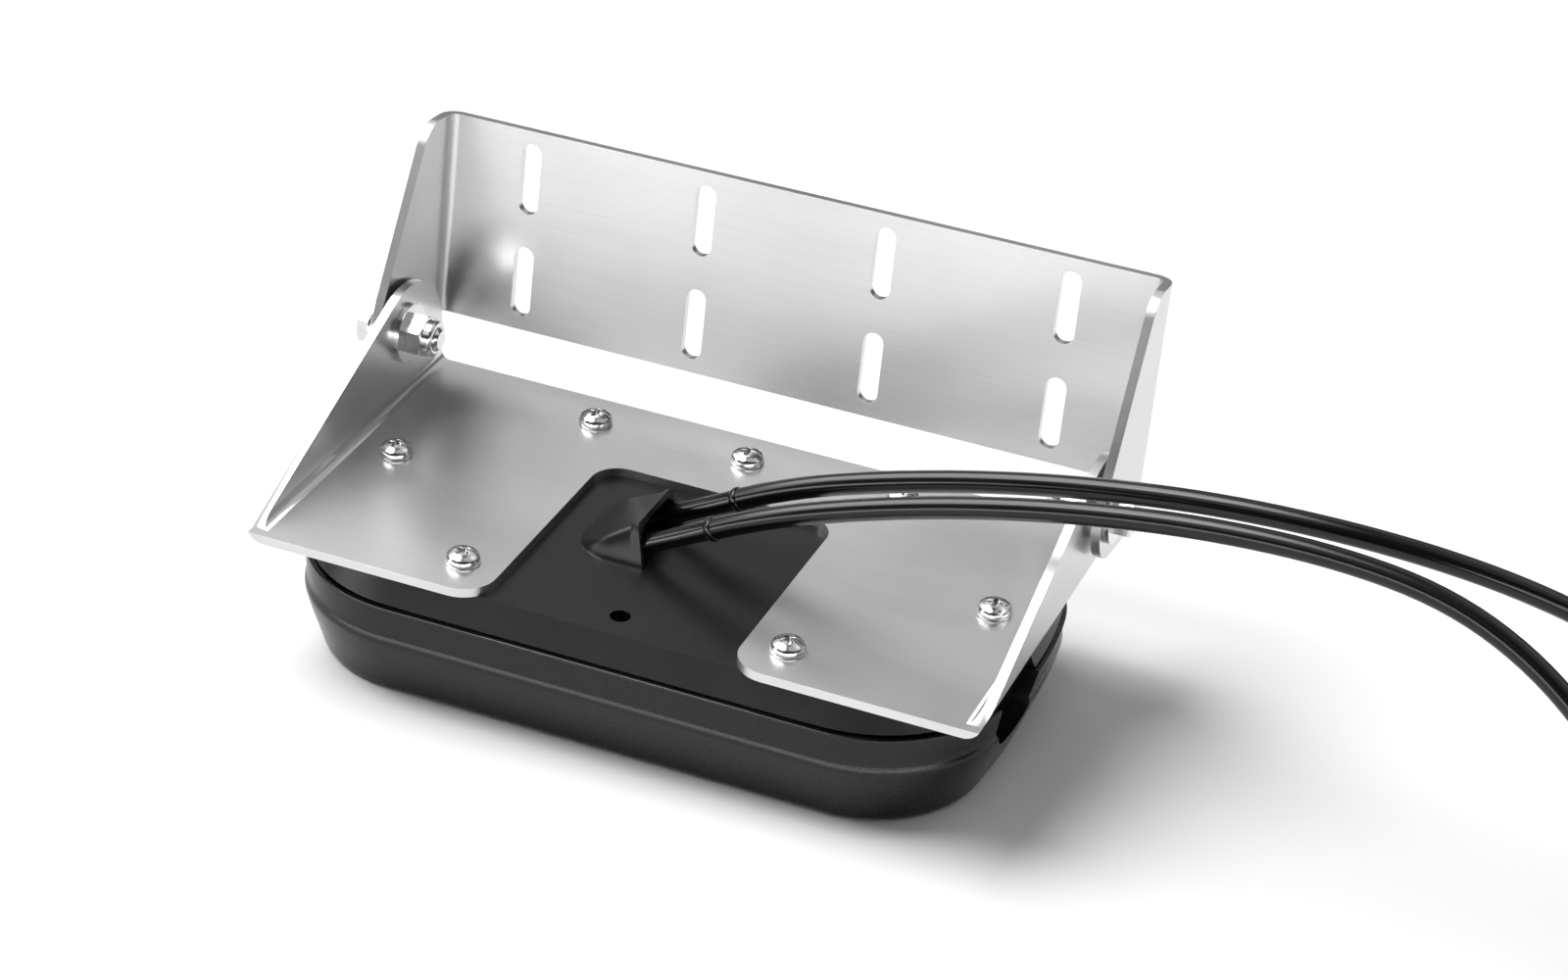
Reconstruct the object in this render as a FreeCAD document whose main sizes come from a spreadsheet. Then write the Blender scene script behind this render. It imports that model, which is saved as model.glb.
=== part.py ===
"""Transom-mount sonar transducer with its two-part stainless bracket and two cables.

Frame: origin on the sole under the middle of the housing, +X along the long side of the
housing, +Y towards the boat's transom, +Z up. Millimetres.
"""
import FreeCAD
import Part
import math
import os
import Sketcher

V = FreeCAD.Vector
doc = FreeCAD.newDocument("SonarTransducer")


# Sizes

class Size:
    """A length or angle that knows its number and its spreadsheet expression."""

    def __init__(self, number, text):
        self.number = number
        self.text = text

    @staticmethod
    def of(value):
        return value if isinstance(value, Size) else Size(float(value), repr(float(value)))

    def _join(self, sign, other, number):
        return Size(number, f"({self.text} {sign} {other.text})")

    def __add__(self, other):
        other = Size.of(other)
        return self._join("+", other, self.number + other.number)

    def __radd__(self, other):
        return Size.of(other) + self

    def __sub__(self, other):
        other = Size.of(other)
        return self._join("-", other, self.number - other.number)

    def __rsub__(self, other):
        return Size.of(other) - self

    def __mul__(self, other):
        other = Size.of(other)
        return self._join("*", other, self.number * other.number)

    def __rmul__(self, other):
        return Size.of(other) * self

    def __truediv__(self, other):
        other = Size.of(other)
        return self._join("/", other, self.number / other.number)

    def __neg__(self):
        return Size(-self.number, f"(0 - {self.text})")


def sine(angle):
    return Size(math.sin(math.radians(angle.number)), f"sin({angle.text} * 1 deg)")


def cosine(angle):
    return Size(math.cos(math.radians(angle.number)), f"cos({angle.text} * 1 deg)")


def tangent(angle):
    return Size(math.tan(math.radians(angle.number)), f"tan({angle.text} * 1 deg)")


SIZES = [
    # hull
    ("lower_half", 120.4, "half width of the transducer bracket over its ears"),
    ("plate_half_y", 63.9, "half depth of its plate"),
    ("rim_inside_ears", 1.0, "how far the hull's rim stands inside the bracket's ears"),
    ("rim_past_plate", 2.2, "how far the hull's rim stands past the bracket's plate"),
    ("crease_in", 2.3, "how far the crease stands inside the rim at the ends"),
    ("crease_out_y", 0.2, "how far the crease stands outside the rim, front and back"),
    ("sole_in", 8.8, "how far the sole's outline stands inside the rim at the ends"),
    ("sole_in_y", 5.8, "how far the sole's outline stands inside the rim, front and back"),
    ("hull_rim_x", "=lower_half - rim_inside_ears", "half length of the hull at its rim"),
    ("hull_rim_y", "=plate_half_y + rim_past_plate", "half depth of the hull at its rim"),
    ("hull_rim_z", 33.0, "height of the rim"),
    ("hull_crease_x", "=hull_rim_x - crease_in", "half length at the crease"),
    ("hull_crease_y", "=hull_rim_y + crease_out_y", "half depth at the crease"),
    ("hull_crease_z", 23.5, "height of the crease"),
    ("hull_sole_x", "=hull_rim_x - sole_in", "half length at the sole"),
    ("hull_sole_y", "=hull_rim_y - sole_in_y", "half depth at the sole"),
    ("rim_corner", 47.0, "plan corner radius at the rim"),
    ("sole_corner", 36.0, "plan corner radius at the sole"),
    ("end_bow", 155.0, "plan radius of the bowed ends at the rim"),
    ("sole_bow", 300.0, "plan radius of the bowed ends at the sole"),
    ("sole_edge", 2.8, "edge radius round the sole"),
    ("hull_floor", 4.0, "thickness of the acoustic window"),
    ("hull_side_wall", 5.0, "thickness of the long side walls"),
    ("hull_rim_wall", 6.0, "thickness of the long side walls at the rim"),
    ("hull_end_wall", 17.0, "thickness of the ends at the rim, which hold the pockets"),
    ("hull_end_foot", 13.0, "thickness of the ends at the sole"),
    # end pockets
    ("pocket_y", -17.6, "middle of each end pocket"),
    ("pocket_width", 25.2, "width of each end pocket"),
    ("pocket_floor_z", 15.5, "bottom of each end pocket"),
    ("pocket_corner", 11.0, "bottom corner radius of a pocket"),
    ("pocket_depth", 11.0, "depth of a pocket from the rim's end"),
    ("pocket_roof", 1.0, "what the cover leaves over each pocket"),
    # seal
    ("seal_gap", 1.0, "groove between hull and cover, filled by the seal"),
    ("seal_inset", 2.5, "seal's distance inside the hull's rim, front and back"),
    ("seal_behind", 1.3, "seal's distance behind the end pockets"),
    ("seal_width", 3.0, "width of the seal"),
    ("seal_corner", 42.0, "plan corner radius of the seal"),
    # cover
    ("cover_step", 1.5, "how far the cover's foot stands inside the rim"),
    ("cover_slope", 4.5, "how far the cover's side leans in"),
    ("cover_height", 9.0, "height of the cover"),
    ("cover_top_wall", 3.5, "thickness of the cover's top"),
    ("cover_side_wall", 6.0, "thickness of the cover's foot"),
    ("cover_end_wall", 16.0, "thickness of the cover's ends"),
    ("boss_across", 11.0, "diameter of the screw bosses"),
    ("test_hole", 6.5, "diameter of the small blind hole"),
    ("test_hole_y", -50.1, "place of the small blind hole"),
    ("test_hole_deep", 8.0, "depth of the small blind hole"),
    # cable hood
    ("hood_y", -6.0, "middle of the cable hood"),
    ("hood_tip_x", -30.2, "low end of the hood"),
    ("hood_mouth_x", -5.0, "foot of the hood's mouth"),
    ("hood_width", 31.0, "width of the hood"),
    ("hood_rise", 13.0, "height of the hood's brow"),
    ("hood_lean", 4.0, "how far the brow leans back from the mouth's foot"),
    ("hood_corner", 11.0, "plan radius of the hood's low corners"),
    ("hood_wall", 1.6, "thickness of the hood's walls"),
    ("hood_roof", 1.9, "thickness of the hood's roof"),
    ("hood_deep", 8.5, "depth of the hood's mouth"),
    # cables
    ("cable_across", 7.0, "diameter of each cable"),
    ("boot_across", 6.2, "diameter of the cable boots"),
    ("boot_collar", 7.8, "diameter of the collar at the end of a boot"),
    ("boot_collar_long", 1.6, "length of that collar"),
    ("cable_rise", 28.0, "angle at which the cables leave, in degrees"),
    ("cable_pitch", 20.0, "distance between the two cables"),
    ("cable_mouth_z", 6.0, "height of the cables over the cover at the mouth"),
    ("boot_out", 23.4, "length of a boot outside the mouth"),
    ("boot_in", 22.0, "length of a boot inside the mouth"),
    ("bore_further", 6.0, "how far a boot's bore runs past the boot, for the cores"),
    # sheet metal
    ("sheet", 3.0, "thickness of the stainless sheet"),
    ("bend", 3.0, "inner bend radius"),
    # transducer bracket
    ("notch_half", 40.3, "half width of the notch round the hood"),
    ("notch_deep", 90.0, "depth of the notch"),
    ("notch_corner", 9.5, "inner corner radius of the notch"),
    ("leg_corner", 11.0, "outer corner radius of the plate's legs"),
    ("ear_slope", 21.8, "slope of the ears' front edge, in degrees"),
    ("ear_foot", 3.4, "flat stretch in front of the ears"),
    ("ear_round", 25.0, "radius of the ears' top"),
    ("pivot_in", 26.4, "pivot axis, inside the plate's back edge"),
    ("pivot_y", "=plate_half_y - pivot_in", "pivot axis, from the middle of the housing"),
    ("pivot_rise", 22.5, "pivot axis, above the plate"),
    # bracket screws
    ("screw_row_in", 15.4, "front and back screw rows, inside the plate's edges"),
    ("screw_row_y", "=plate_half_y - screw_row_in", "front and back screw rows, from the middle"),
    ("screw_in_x", 53.7, "outer screws of those rows, from the middle"),
    ("screw_end_in", 18.7, "end screws, inside the ears"),
    ("screw_end_x", "=lower_half - screw_end_in", "end screws, from the middle"),
    ("screw_hole", 5.5, "clearance hole for a screw"),
    ("screw_shank", 4.9, "diameter of a screw's shank"),
    ("screw_long", 10.5, "length of a screw under its head"),
    ("screw_head", 11.0, "diameter of a pan head"),
    ("screw_head_tall", 4.0, "height of a pan head"),
    ("screw_crown", 2.5, "edge radius of a pan head"),
    ("screw_tip_in", 0.6, "chamfer of a screw's tip, across"),
    ("screw_tip_long", 0.9, "chamfer of a screw's tip, along"),
    ("recess_wide", 1.5, "width of the cross recess's arms"),
    ("recess_span", 5.6, "span of the cross recess"),
    ("recess_deep", 1.9, "depth of the cross recess"),
    ("insert_across", 7.0, "outer diameter of a threaded insert"),
    ("insert_bore", 5.0, "bore of a threaded insert"),
    ("insert_long", 8.5, "length of a threaded insert"),
    # transom bracket
    ("transom_tilt", 6.4, "how far the transom plate leans back, in degrees"),
    ("transom_set", 34.0, "transom plate's face behind the pivot"),
    ("transom_low", 4.7, "transom plate's bottom edge below the pivot"),
    ("transom_high", 64.8, "transom plate's top edge above the pivot"),
    ("transom_ear_lead", 12.3, "ears' front edge, from the pivot"),
    ("transom_ear_slope", 25.9, "angle of that edge to the plate, in degrees"),
    ("transom_ear_top", 11.0, "radius of the ears' top corner"),
    ("transom_ear_lobe", 16.0, "radius of the ears' lower end"),
    ("transom_ear_drop", 16.5, "lower end of the ears, below the pivot"),
    ("transom_heel", 22.0, "flat of the ears' lower edge ends this far behind the pivot"),
    ("transom_heel_round", 10.0, "radius at that end"),
    ("slot_long", 24.3, "length of a slot"),
    ("slot_wide", 6.9, "width of a slot"),
    ("slot_pitch_x", 61.8, "distance between slot columns"),
    ("slot_pitch_z", 36.0, "distance between slot rows"),
    ("slot_low", 12.2, "middle of the lower slots above the pivot"),
    # pivot hardware
    ("bolt_across", 8.0, "diameter of a pivot bolt"),
    ("bolt_play", 0.15, "pivot hole's diameter over the bolt's"),
    ("bolt_head", 13.0, "bolt head across its flats"),
    ("bolt_head_tall", 5.3, "height of a bolt head"),
    ("bolt_end_in", 15.7, "end of a bolt's shank, inside the ears"),
    ("bolt_end", "=lower_half - bolt_end_in", "end of a bolt's shank, from the middle"),
    ("bolt_end_chamfer", 1.0, "chamfer of the shank's end"),
    ("washer_across", 20.0, "diameter of the washers"),
    ("washer_bore", 8.4, "bore of the washers"),
    ("washer_thick", 2.0, "thickness of the outer and inner washers"),
    ("spacer_thick", 1.6, "thickness of the washer between the ears"),
    ("ear_play", 0.05, "side play of a transom ear"),
    ("nut_hex_tall", 6.2, "height of a nut's hexagon"),
    ("nut_collar", 6.0, "radius of a nut's locking collar"),
    ("nut_tall", 9.4, "height of a nut"),
    ("nut_collar_edge", 1.2, "edge radius of that collar"),
    ("nut_bore", 8.1, "bore of a nut"),
    # inside the housing
    ("carrier_half_x", 88.0, "half length of the array carrier"),
    ("carrier_half_y", 40.0, "half depth of the array carrier"),
    ("carrier_top_z", 29.0, "top of the array carrier"),
    ("array_tilt", 20.0, "tilt of the side arrays, in degrees"),
    ("array_thick", 5.0, "thickness of the arrays"),
    ("array_glue", 1.0, "glue line round the arrays"),
    ("side_array_wide", 36.0, "width of a side array"),
    ("down_array_wide", 24.0, "width of the down array"),
    ("array_long", 74.0, "length of the arrays"),
    ("foot_in_x", 15.0, "inner side of a carrier foot"),
    ("foot_out_x", 36.0, "outer side of a carrier foot"),
    ("board_half_x", 66.0, "half length of the circuit board"),
    ("board_half_y", 36.0, "half depth of the circuit board"),
    ("board_thick", 1.6, "thickness of the circuit board"),
    ("sensor_across", 8.0, "diameter of the temperature sensor"),
    ("sensor_tall", 6.0, "height of the temperature sensor"),
    ("sensor_y", -49.0, "place of the temperature sensor"),
    # coils and plugs
    ("coil_x", 390.0, "middle of both coils"),
    ("coil_y", -5.0, "middle of both coils"),
    ("coil_mean", 49.0, "middle radius of a coil"),
    ("coil_wide", 36.0, "width of a coil's bundle"),
    ("coil_tall", 26.0, "height of a coil's bundle"),
    ("coil_round", 9.0, "edge radius of a coil's bundle"),
    ("aft_plug_along", 28.0, "start of the aft plug past the coils' middle"),
    ("aft_plug_aside", 65.5, "axis of the aft plug beside the coils' middle"),
    ("fore_plug_along", -20.0, "start of the fore plug past the coils' middle"),
    ("fore_plug_aside", 49.0, "axis of the fore plug beside the coils' middle"),
    ("plug_relief_long", 22.0, "length of a plug's strain relief"),
    ("plug_relief_end", 12.0, "diameter of the strain relief at the plug"),
    ("plug_grip", 16.0, "diameter of a plug's grip"),
    ("plug_grip_long", 24.0, "length of a plug's grip"),
    ("plug_nose", 13.0, "diameter of a plug's nose"),
    ("plug_nose_long", 16.0, "length of a plug's nose"),
    ("plug_collar", 19.6, "diameter of a plug's locking collar"),
    ("plug_collar_long", 14.0, "length of a plug's locking collar"),
    ("plug_collar_gap", 0.3, "clearance between collar and nose"),
    ("plug_collar_bead", 0.6, "chamfer of the collar's edges"),
    ("plug_nose_wall", 1.2, "wall of the nose round its contacts"),
    ("plug_shoulder", 1.5, "chamfer of the grip's shoulder"),
    ("rib_tall", 1.2, "height of the first rib of the strain relief"),
    ("rib_gap_wall", 0.6, "depth of the gaps between those ribs"),
    ("pin_across", 1.2, "diameter of a contact pin"),
    ("pin_circle", 3.6, "radius of the contacts' circle"),
    ("pin_long", 5.0, "length of a contact pin"),
    ("pin_inside", 1.0, "how far the pins stay inside the nose"),
    ("pin_count", 8, "contacts on the circle"),
]

sheet = doc.addObject("Spreadsheet::Sheet", "Sizes")


class Named:
    """The spreadsheet's cells as sizes."""


d = Named()
for row, (alias, value, note) in enumerate(SIZES, start=1):
    sheet.set(f"A{row}", note)
    sheet.set(f"B{row}", str(value))
    sheet.setAlias(f"B{row}", alias)
doc.recompute()
for alias, value, note in SIZES:
    setattr(d, alias, Size(float(getattr(sheet, alias)), f"Sizes.{alias}"))


# Shared construction

CUT_MARGIN = 1.0
FULL_TURN = 360.0
ON_AXIS = 1e-9

def bind(feature, name, size):
    """Set a property to a size and tie it to the spreadsheet."""
    size = Size.of(size)
    feature.setExpression(name, size.text)


def new_body(label):
    body = doc.addObject("PartDesign::Body", label)
    body.Label = label
    return body


def datum(body, role):
    return [item for item in body.Origin.OriginFeatures if item.Role == role][0]


def new_sketch(body, name, role, offset=None):
    """A sketch on one of the body's own planes, moved along its normal."""
    sketch = body.newObject("Sketcher::SketchObject", name)
    sketch.AttachmentSupport = [(datum(body, role), "")]
    sketch.MapMode = "FlatFace"
    if offset is not None:
        bind(sketch, ".AttachmentOffset.Base.z", offset)
        sketch.AttachmentOffset = FreeCAD.Placement(V(0, 0, Size.of(offset).number), FreeCAD.Rotation())
    return sketch


def pin_point(sketch, geometry, position, x, y):
    """Hold a point at two sizes measured from the sketch's origin."""
    for kind, axis, size in (("DistanceX", -2, Size.of(x)), ("DistanceY", -1, Size.of(y))):
        if abs(size.number) < ON_AXIS:
            sketch.addConstraint(Sketcher.Constraint("PointOnObject", geometry, position, axis))
            continue
        made = sketch.addConstraint(Sketcher.Constraint(kind, -1, 1, geometry, position, size.number))
        sketch.setExpression(f"Constraints[{made}]", size.text)


def set_radius(sketch, geometry, size):
    size = Size.of(size)
    made = sketch.addConstraint(Sketcher.Constraint("Radius", geometry, size.number))
    sketch.setExpression(f"Constraints[{made}]", size.text)


def arc_between(sketch, centre, radius, start, end):
    """Add an arc the short way round and say which of its ends is the start."""
    first = math.atan2(start.y - centre.y, start.x - centre.x)
    last = math.atan2(end.y - centre.y, end.x - centre.x)
    if (last - first) % (2 * math.pi) > math.pi:
        return sketch.addGeometry(Part.ArcOfCircle(Part.Circle(centre, V(0, 0, 1), radius), last, first)), 2, 1
    return sketch.addGeometry(Part.ArcOfCircle(Part.Circle(centre, V(0, 0, 1), radius), first, last)), 1, 2


def outline(sketch, corners):
    """A closed outline of corners (x, y) or rounded corners (x, y, radius)."""
    count = len(corners)
    points = [V(Size.of(c[0]).number, Size.of(c[1]).number, 0) for c in corners]
    starts, ends, arcs = {}, {}, {}
    for i, corner in enumerate(corners):
        starts[i] = ends[i] = points[i]
        if len(corner) == 3:
            radius = Size.of(corner[2]).number
            back = (points[i - 1] - points[i]).normalize()
            ahead = (points[(i + 1) % count] - points[i]).normalize()
            half = back.getAngle(ahead) / 2
            ends[i] = points[i] + back * (radius / math.tan(half))
            starts[i] = points[i] + ahead * (radius / math.tan(half))
            centre = points[i] + (back + ahead).normalize() * (radius / math.sin(half))
            arcs[i] = (centre, radius)
    lines = [sketch.addGeometry(Part.LineSegment(starts[i], ends[(i + 1) % count])) for i in range(count)]
    for i, corner in enumerate(corners):
        before = lines[i - 1]
        after = lines[i]
        if i not in arcs:
            sketch.addConstraint(Sketcher.Constraint("Coincident", before, 2, after, 1))
            pin_point(sketch, after, 1, corner[0], corner[1])
            continue
        arc, first, last = arc_between(sketch, arcs[i][0], arcs[i][1], ends[i], starts[i])
        sketch.addConstraint(Sketcher.Constraint("Tangent", before, 2, arc, first))
        sketch.addConstraint(Sketcher.Constraint("Tangent", arc, last, after, 1))
        set_radius(sketch, arc, corner[2])
        meet = sketch.addGeometry(Part.Point(points[i]), True)
        pin_point(sketch, meet, 1, corner[0], corner[1])
        sketch.addConstraint(Sketcher.Constraint("PointOnObject", meet, 1, before))
        sketch.addConstraint(Sketcher.Constraint("PointOnObject", meet, 1, after))


def circle(sketch, x, y, diameter):
    centre = V(Size.of(x).number, Size.of(y).number, 0)
    made = sketch.addGeometry(Part.Circle(centre, V(0, 0, 1), Size.of(diameter).number / 2))
    pin_point(sketch, made, 3, x, y)
    set_radius(sketch, made, Size.of(diameter) / 2)


def oval(sketch, half_x, half_y, corner, bow):
    """The housing's plan: straight long sides, rounded corners and gently bowed ends."""
    hx, hy, rc, rb = (Size.of(item).number for item in (half_x, half_y, corner, bow))
    middle_x = hx - rb
    lift = hy - rc
    corner_x = middle_x + math.sqrt((rb - rc) ** 2 - lift ** 2)
    joint = V(corner_x - middle_x, lift, 0).normalize() * rb + V(middle_x, 0, 0)

    def at(side, up, point):
        return V(side * point.x, up * point.y, 0)

    front = sketch.addGeometry(Part.LineSegment(V(-corner_x, -hy, 0), V(corner_x, -hy, 0)))
    quarter = {}
    for side, up in ((1, -1), (1, 1), (-1, 1), (-1, -1)):
        centre = V(side * corner_x, up * lift, 0)
        foot = V(side * corner_x, up * hy, 0)
        quarter[side, up] = arc_between(sketch, centre, rc, foot, at(side, up, joint))
    back = sketch.addGeometry(Part.LineSegment(V(corner_x, hy, 0), V(-corner_x, hy, 0)))
    bows = {}
    for side in (1, -1):
        bows[side] = arc_between(sketch, V(side * middle_x, 0, 0), rb, at(side, -1, joint), at(side, 1, joint))
    add = sketch.addConstraint
    for side in (1, -1):
        for up in (-1, 1):
            arc, at_line, at_bow = quarter[side, up]
            line = front if up < 0 else back
            line_end = 2 if (side > 0) == (up < 0) else 1
            add(Sketcher.Constraint("Tangent", line, line_end, arc, at_line))
            add(Sketcher.Constraint("Tangent", arc, at_bow, bows[side][0], bows[side][1 if up < 0 else 2]))
    add(Sketcher.Constraint("Horizontal", back))
    add(Sketcher.Constraint("Symmetric", front, 1, front, 2, -2))
    add(Sketcher.Constraint("Symmetric", front, 1, back, 2, -1))
    set_radius(sketch, quarter[1, -1][0], corner)
    for other in ((1, 1), (-1, 1), (-1, -1)):
        add(Sketcher.Constraint("Equal", quarter[1, -1][0], quarter[other][0]))
    set_radius(sketch, bows[1][0], bow)
    add(Sketcher.Constraint("Equal", bows[1][0], bows[-1][0]))
    made = add(Sketcher.Constraint("DistanceY", -1, 1, front, 1, -hy))
    sketch.setExpression(f"Constraints[{made}]", (-Size.of(half_y)).text)
    pin_point(sketch, bows[1][0], 3, Size.of(half_x) - bow, 0)


def pad(body, name, sketch, length, reverse=False, both=False):
    feature = body.newObject("PartDesign::Pad", name)
    feature.Profile = sketch
    feature.Reversed = reverse
    feature.Midplane = both
    bind(feature, "Length", length)
    sketch.Visibility = False
    return feature


def pocket(body, name, sketch, length, reverse=False, both=False):
    feature = body.newObject("PartDesign::Pocket", name)
    feature.Profile = sketch
    feature.Reversed = reverse
    feature.Midplane = both
    bind(feature, "Length", length)
    sketch.Visibility = False
    return feature


def loft(body, name, sections, cut=False):
    kind = "PartDesign::SubtractiveLoft" if cut else "PartDesign::AdditiveLoft"
    feature = body.newObject(kind, name)
    feature.Profile = sections[0]
    feature.Sections = sections[1:]
    feature.Ruled = True
    return feature


def turn(body, name, sketch, axis, cut=False):
    feature = body.newObject("PartDesign::Groove" if cut else "PartDesign::Revolution", name)
    feature.Profile = sketch
    feature.ReferenceAxis = axis
    feature.Angle = FULL_TURN
    return feature


def edges_where(shape, test):
    """Names of the edges whose middle point and ends pass a test."""
    names = []
    for number, edge in enumerate(shape.Edges, start=1):
        middle = edge.valueAt((edge.FirstParameter + edge.LastParameter) / 2)
        if test(edge, middle):
            names.append(f"Edge{number}")
    return names


def round_edges(body, name, base, radius, test):
    doc.recompute()
    feature = body.newObject("PartDesign::Fillet", name)
    feature.Base = (base, edges_where(base.Shape, test))
    bind(feature, "Radius", radius)
    return feature


def near(a, b, slack=0.05):
    return abs(a - b) < slack


def upright(edge):
    """True for a straight edge along Z."""
    return isinstance(edge.Curve, Part.Line) and near(abs(edge.Curve.Direction.z), 1.0, 1e-6)


def place(body, x=None, y=None, z=None):
    """Tie a body's position to the spreadsheet."""
    for axis, size in (("x", x), ("y", y), ("z", z)):
        if size is not None:
            bind(body, f".Placement.Base.{axis}", size)


def copies(label, master, spots, z):
    """One node of identical pieces at the spots and the height given."""
    group = doc.addObject("Part::Compound", label)
    group.Label = label
    links = []
    for number, (x, y) in enumerate(spots, start=1):
        link = doc.addObject("App::Link", f"{label}_{number}")
        link.LinkedObject = master
        bind(link, ".Placement.Base.x", x)
        bind(link, ".Placement.Base.y", y)
        bind(link, ".Placement.Base.z", z)
        links.append(link)
    group.Links = links
    return group


# Heights and places that several pieces share

cover_foot_z = d.hull_rim_z + d.seal_gap
cover_top_z = cover_foot_z + d.cover_height
plate_top_z = cover_top_z + d.sheet
pivot_z = plate_top_z + d.pivot_rise
cover_foot_x = d.hull_rim_x - d.cover_step
cover_foot_y = d.hull_rim_y - d.cover_step
cover_ceiling_z = cover_top_z - d.cover_top_wall

SCREW_SPOTS = [
    (-d.screw_in_x, -d.screw_row_y),
    (d.screw_in_x, -d.screw_row_y),
    (-d.screw_end_x, Size.of(0)),
    (d.screw_end_x, Size.of(0)),
    (-d.screw_in_x, d.screw_row_y),
    (Size.of(0), d.screw_row_y),
    (d.screw_in_x, d.screw_row_y),
]

aft_cable_y = d.hood_y - d.cable_pitch / 2
fore_cable_y = d.hood_y + d.cable_pitch / 2
nodes = []


def keep(item):
    """Mark an object as one of the part's nodes."""
    nodes.append(item)
    return item


# Hull

ROUND_STEPS = 4
QUARTER_TURN = 90.0


def make_hull():
    """The lower shell: draughted sides with a crease, a rounded sole and a recess in each end."""
    body = new_body("hull")
    sections = []
    for step in range(ROUND_STEPS + 1):
        angle = Size.of(QUARTER_TURN * step / ROUND_STEPS)
        height = d.sole_edge * (1 - cosine(angle))
        inset = d.sole_edge * (1 - sine(angle))
        share = height / d.hull_crease_z
        half_x = d.hull_sole_x + (d.hull_crease_x - d.hull_sole_x) * share - inset
        half_y = d.hull_sole_y + (d.hull_crease_y - d.hull_sole_y) * share - inset
        sketch = new_sketch(body, f"sole_outline_{step}", "XY_Plane", height)
        oval(sketch, half_x, half_y, d.sole_corner - inset, d.sole_bow - inset)
        sections.append(sketch)
    crease = new_sketch(body, "crease_outline", "XY_Plane", d.hull_crease_z)
    crease_corner = (d.rim_corner * 2 + d.sole_corner) / 3
    crease_bow = (d.end_bow * 2 + d.sole_bow) / 3
    oval(crease, d.hull_crease_x, d.hull_crease_y, crease_corner, crease_bow)
    rim = new_sketch(body, "rim_outline", "XY_Plane", d.hull_rim_z)
    oval(rim, d.hull_rim_x, d.hull_rim_y, d.rim_corner, d.end_bow)
    loft(body, "outside", sections + [crease, rim])
    floor = new_sketch(body, "floor_outline", "XY_Plane", d.hull_floor)
    inner_bow = d.end_bow - d.hull_side_wall
    oval(floor, d.hull_sole_x - d.hull_end_foot, d.hull_sole_y - d.hull_side_wall,
         d.sole_corner - d.hull_side_wall, inner_bow)
    mouth = new_sketch(body, "mouth_outline", "XY_Plane", d.hull_rim_z)
    oval(mouth, d.hull_rim_x - d.hull_end_wall, d.hull_rim_y - d.hull_rim_wall, d.rim_corner - d.hull_rim_wall,
         inner_bow)
    loft(body, "inside", [floor, mouth], cut=True)
    recess(body, d.hull_rim_z + CUT_MARGIN)
    return keep(body)


def recess(body, top_z):
    """Cut the end pockets out of a body, from their floor up to the height given."""
    for side, name in ((1, "right"), (-1, "left")):
        sketch = new_sketch(body, f"{name}_pocket_outline", "YZ_Plane", side * (d.hull_rim_x - d.pocket_depth))
        left = d.pocket_y - d.pocket_width / 2
        right = d.pocket_y + d.pocket_width / 2
        outline(sketch, [
            (left, d.pocket_floor_z, d.pocket_corner), (right, d.pocket_floor_z, d.pocket_corner),
            (right, top_z), (left, top_z),
        ])
        pocket(body, f"{name}_pocket", sketch, d.pocket_depth + CUT_MARGIN, reverse=side > 0)


# Seal

def make_seal():
    """The ring in the groove between hull and cover."""
    body = new_body("housing_seal")
    half_x = d.hull_rim_x - d.pocket_depth - d.seal_behind
    half_y = d.hull_rim_y - d.seal_inset
    corner = d.seal_corner
    bow = d.end_bow - d.hull_side_wall
    sketch = new_sketch(body, "ring", "XY_Plane", d.hull_rim_z)
    oval(sketch, half_x, half_y, corner, bow)
    pad(body, "ring_pad", sketch, d.seal_gap)
    hole = new_sketch(body, "hole", "XY_Plane", d.hull_rim_z)
    width = d.seal_width
    oval(hole, half_x - width, half_y - width, corner - width, bow - width)
    pocket(body, "hole_pocket", hole, d.seal_gap, reverse=True)
    return keep(body)


# Cover

def make_cover():
    """The top cover with its sloping side, screw bosses, blind hole and cable hood."""
    body = new_body("top_cover")
    foot = new_sketch(body, "foot_outline", "XY_Plane", cover_foot_z)
    foot_corner = d.rim_corner - d.cover_step
    oval(foot, cover_foot_x, cover_foot_y, foot_corner, d.end_bow - d.cover_step)
    top = new_sketch(body, "top_outline", "XY_Plane", cover_top_z)
    oval(top, cover_foot_x - d.cover_slope, cover_foot_y - d.cover_slope, foot_corner - d.cover_slope,
         d.end_bow - d.cover_step - d.cover_slope)
    loft(body, "shell", [foot, top])
    hollow = new_sketch(body, "hollow_outline", "XY_Plane", cover_foot_z)
    oval(hollow, cover_foot_x - d.cover_end_wall, cover_foot_y - d.cover_side_wall,
         foot_corner - d.cover_side_wall, d.end_bow - d.cover_side_wall)
    pocket(body, "hollow", hollow, d.cover_height - d.cover_top_wall, reverse=True)
    bosses = new_sketch(body, "boss_circles", "XY_Plane", cover_foot_z)
    for x, y in SCREW_SPOTS + [(Size.of(0), d.test_hole_y)]:
        circle(bosses, x, y, d.boss_across)
    pad(body, "bosses", bosses, d.cover_height - d.cover_top_wall / 2)
    seats = new_sketch(body, "insert_circles", "XY_Plane", cover_top_z)
    for x, y in SCREW_SPOTS:
        circle(seats, x, y, d.insert_across)
    pocket(body, "insert_seats", seats, d.insert_long)
    hole = new_sketch(body, "blind_hole_circle", "XY_Plane", cover_top_z)
    circle(hole, 0, d.test_hole_y, d.test_hole)
    pocket(body, "blind_hole", hole, d.test_hole_deep)
    add_hood(body)
    recess(body, cover_top_z - d.pocket_roof)
    return keep(body)


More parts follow.
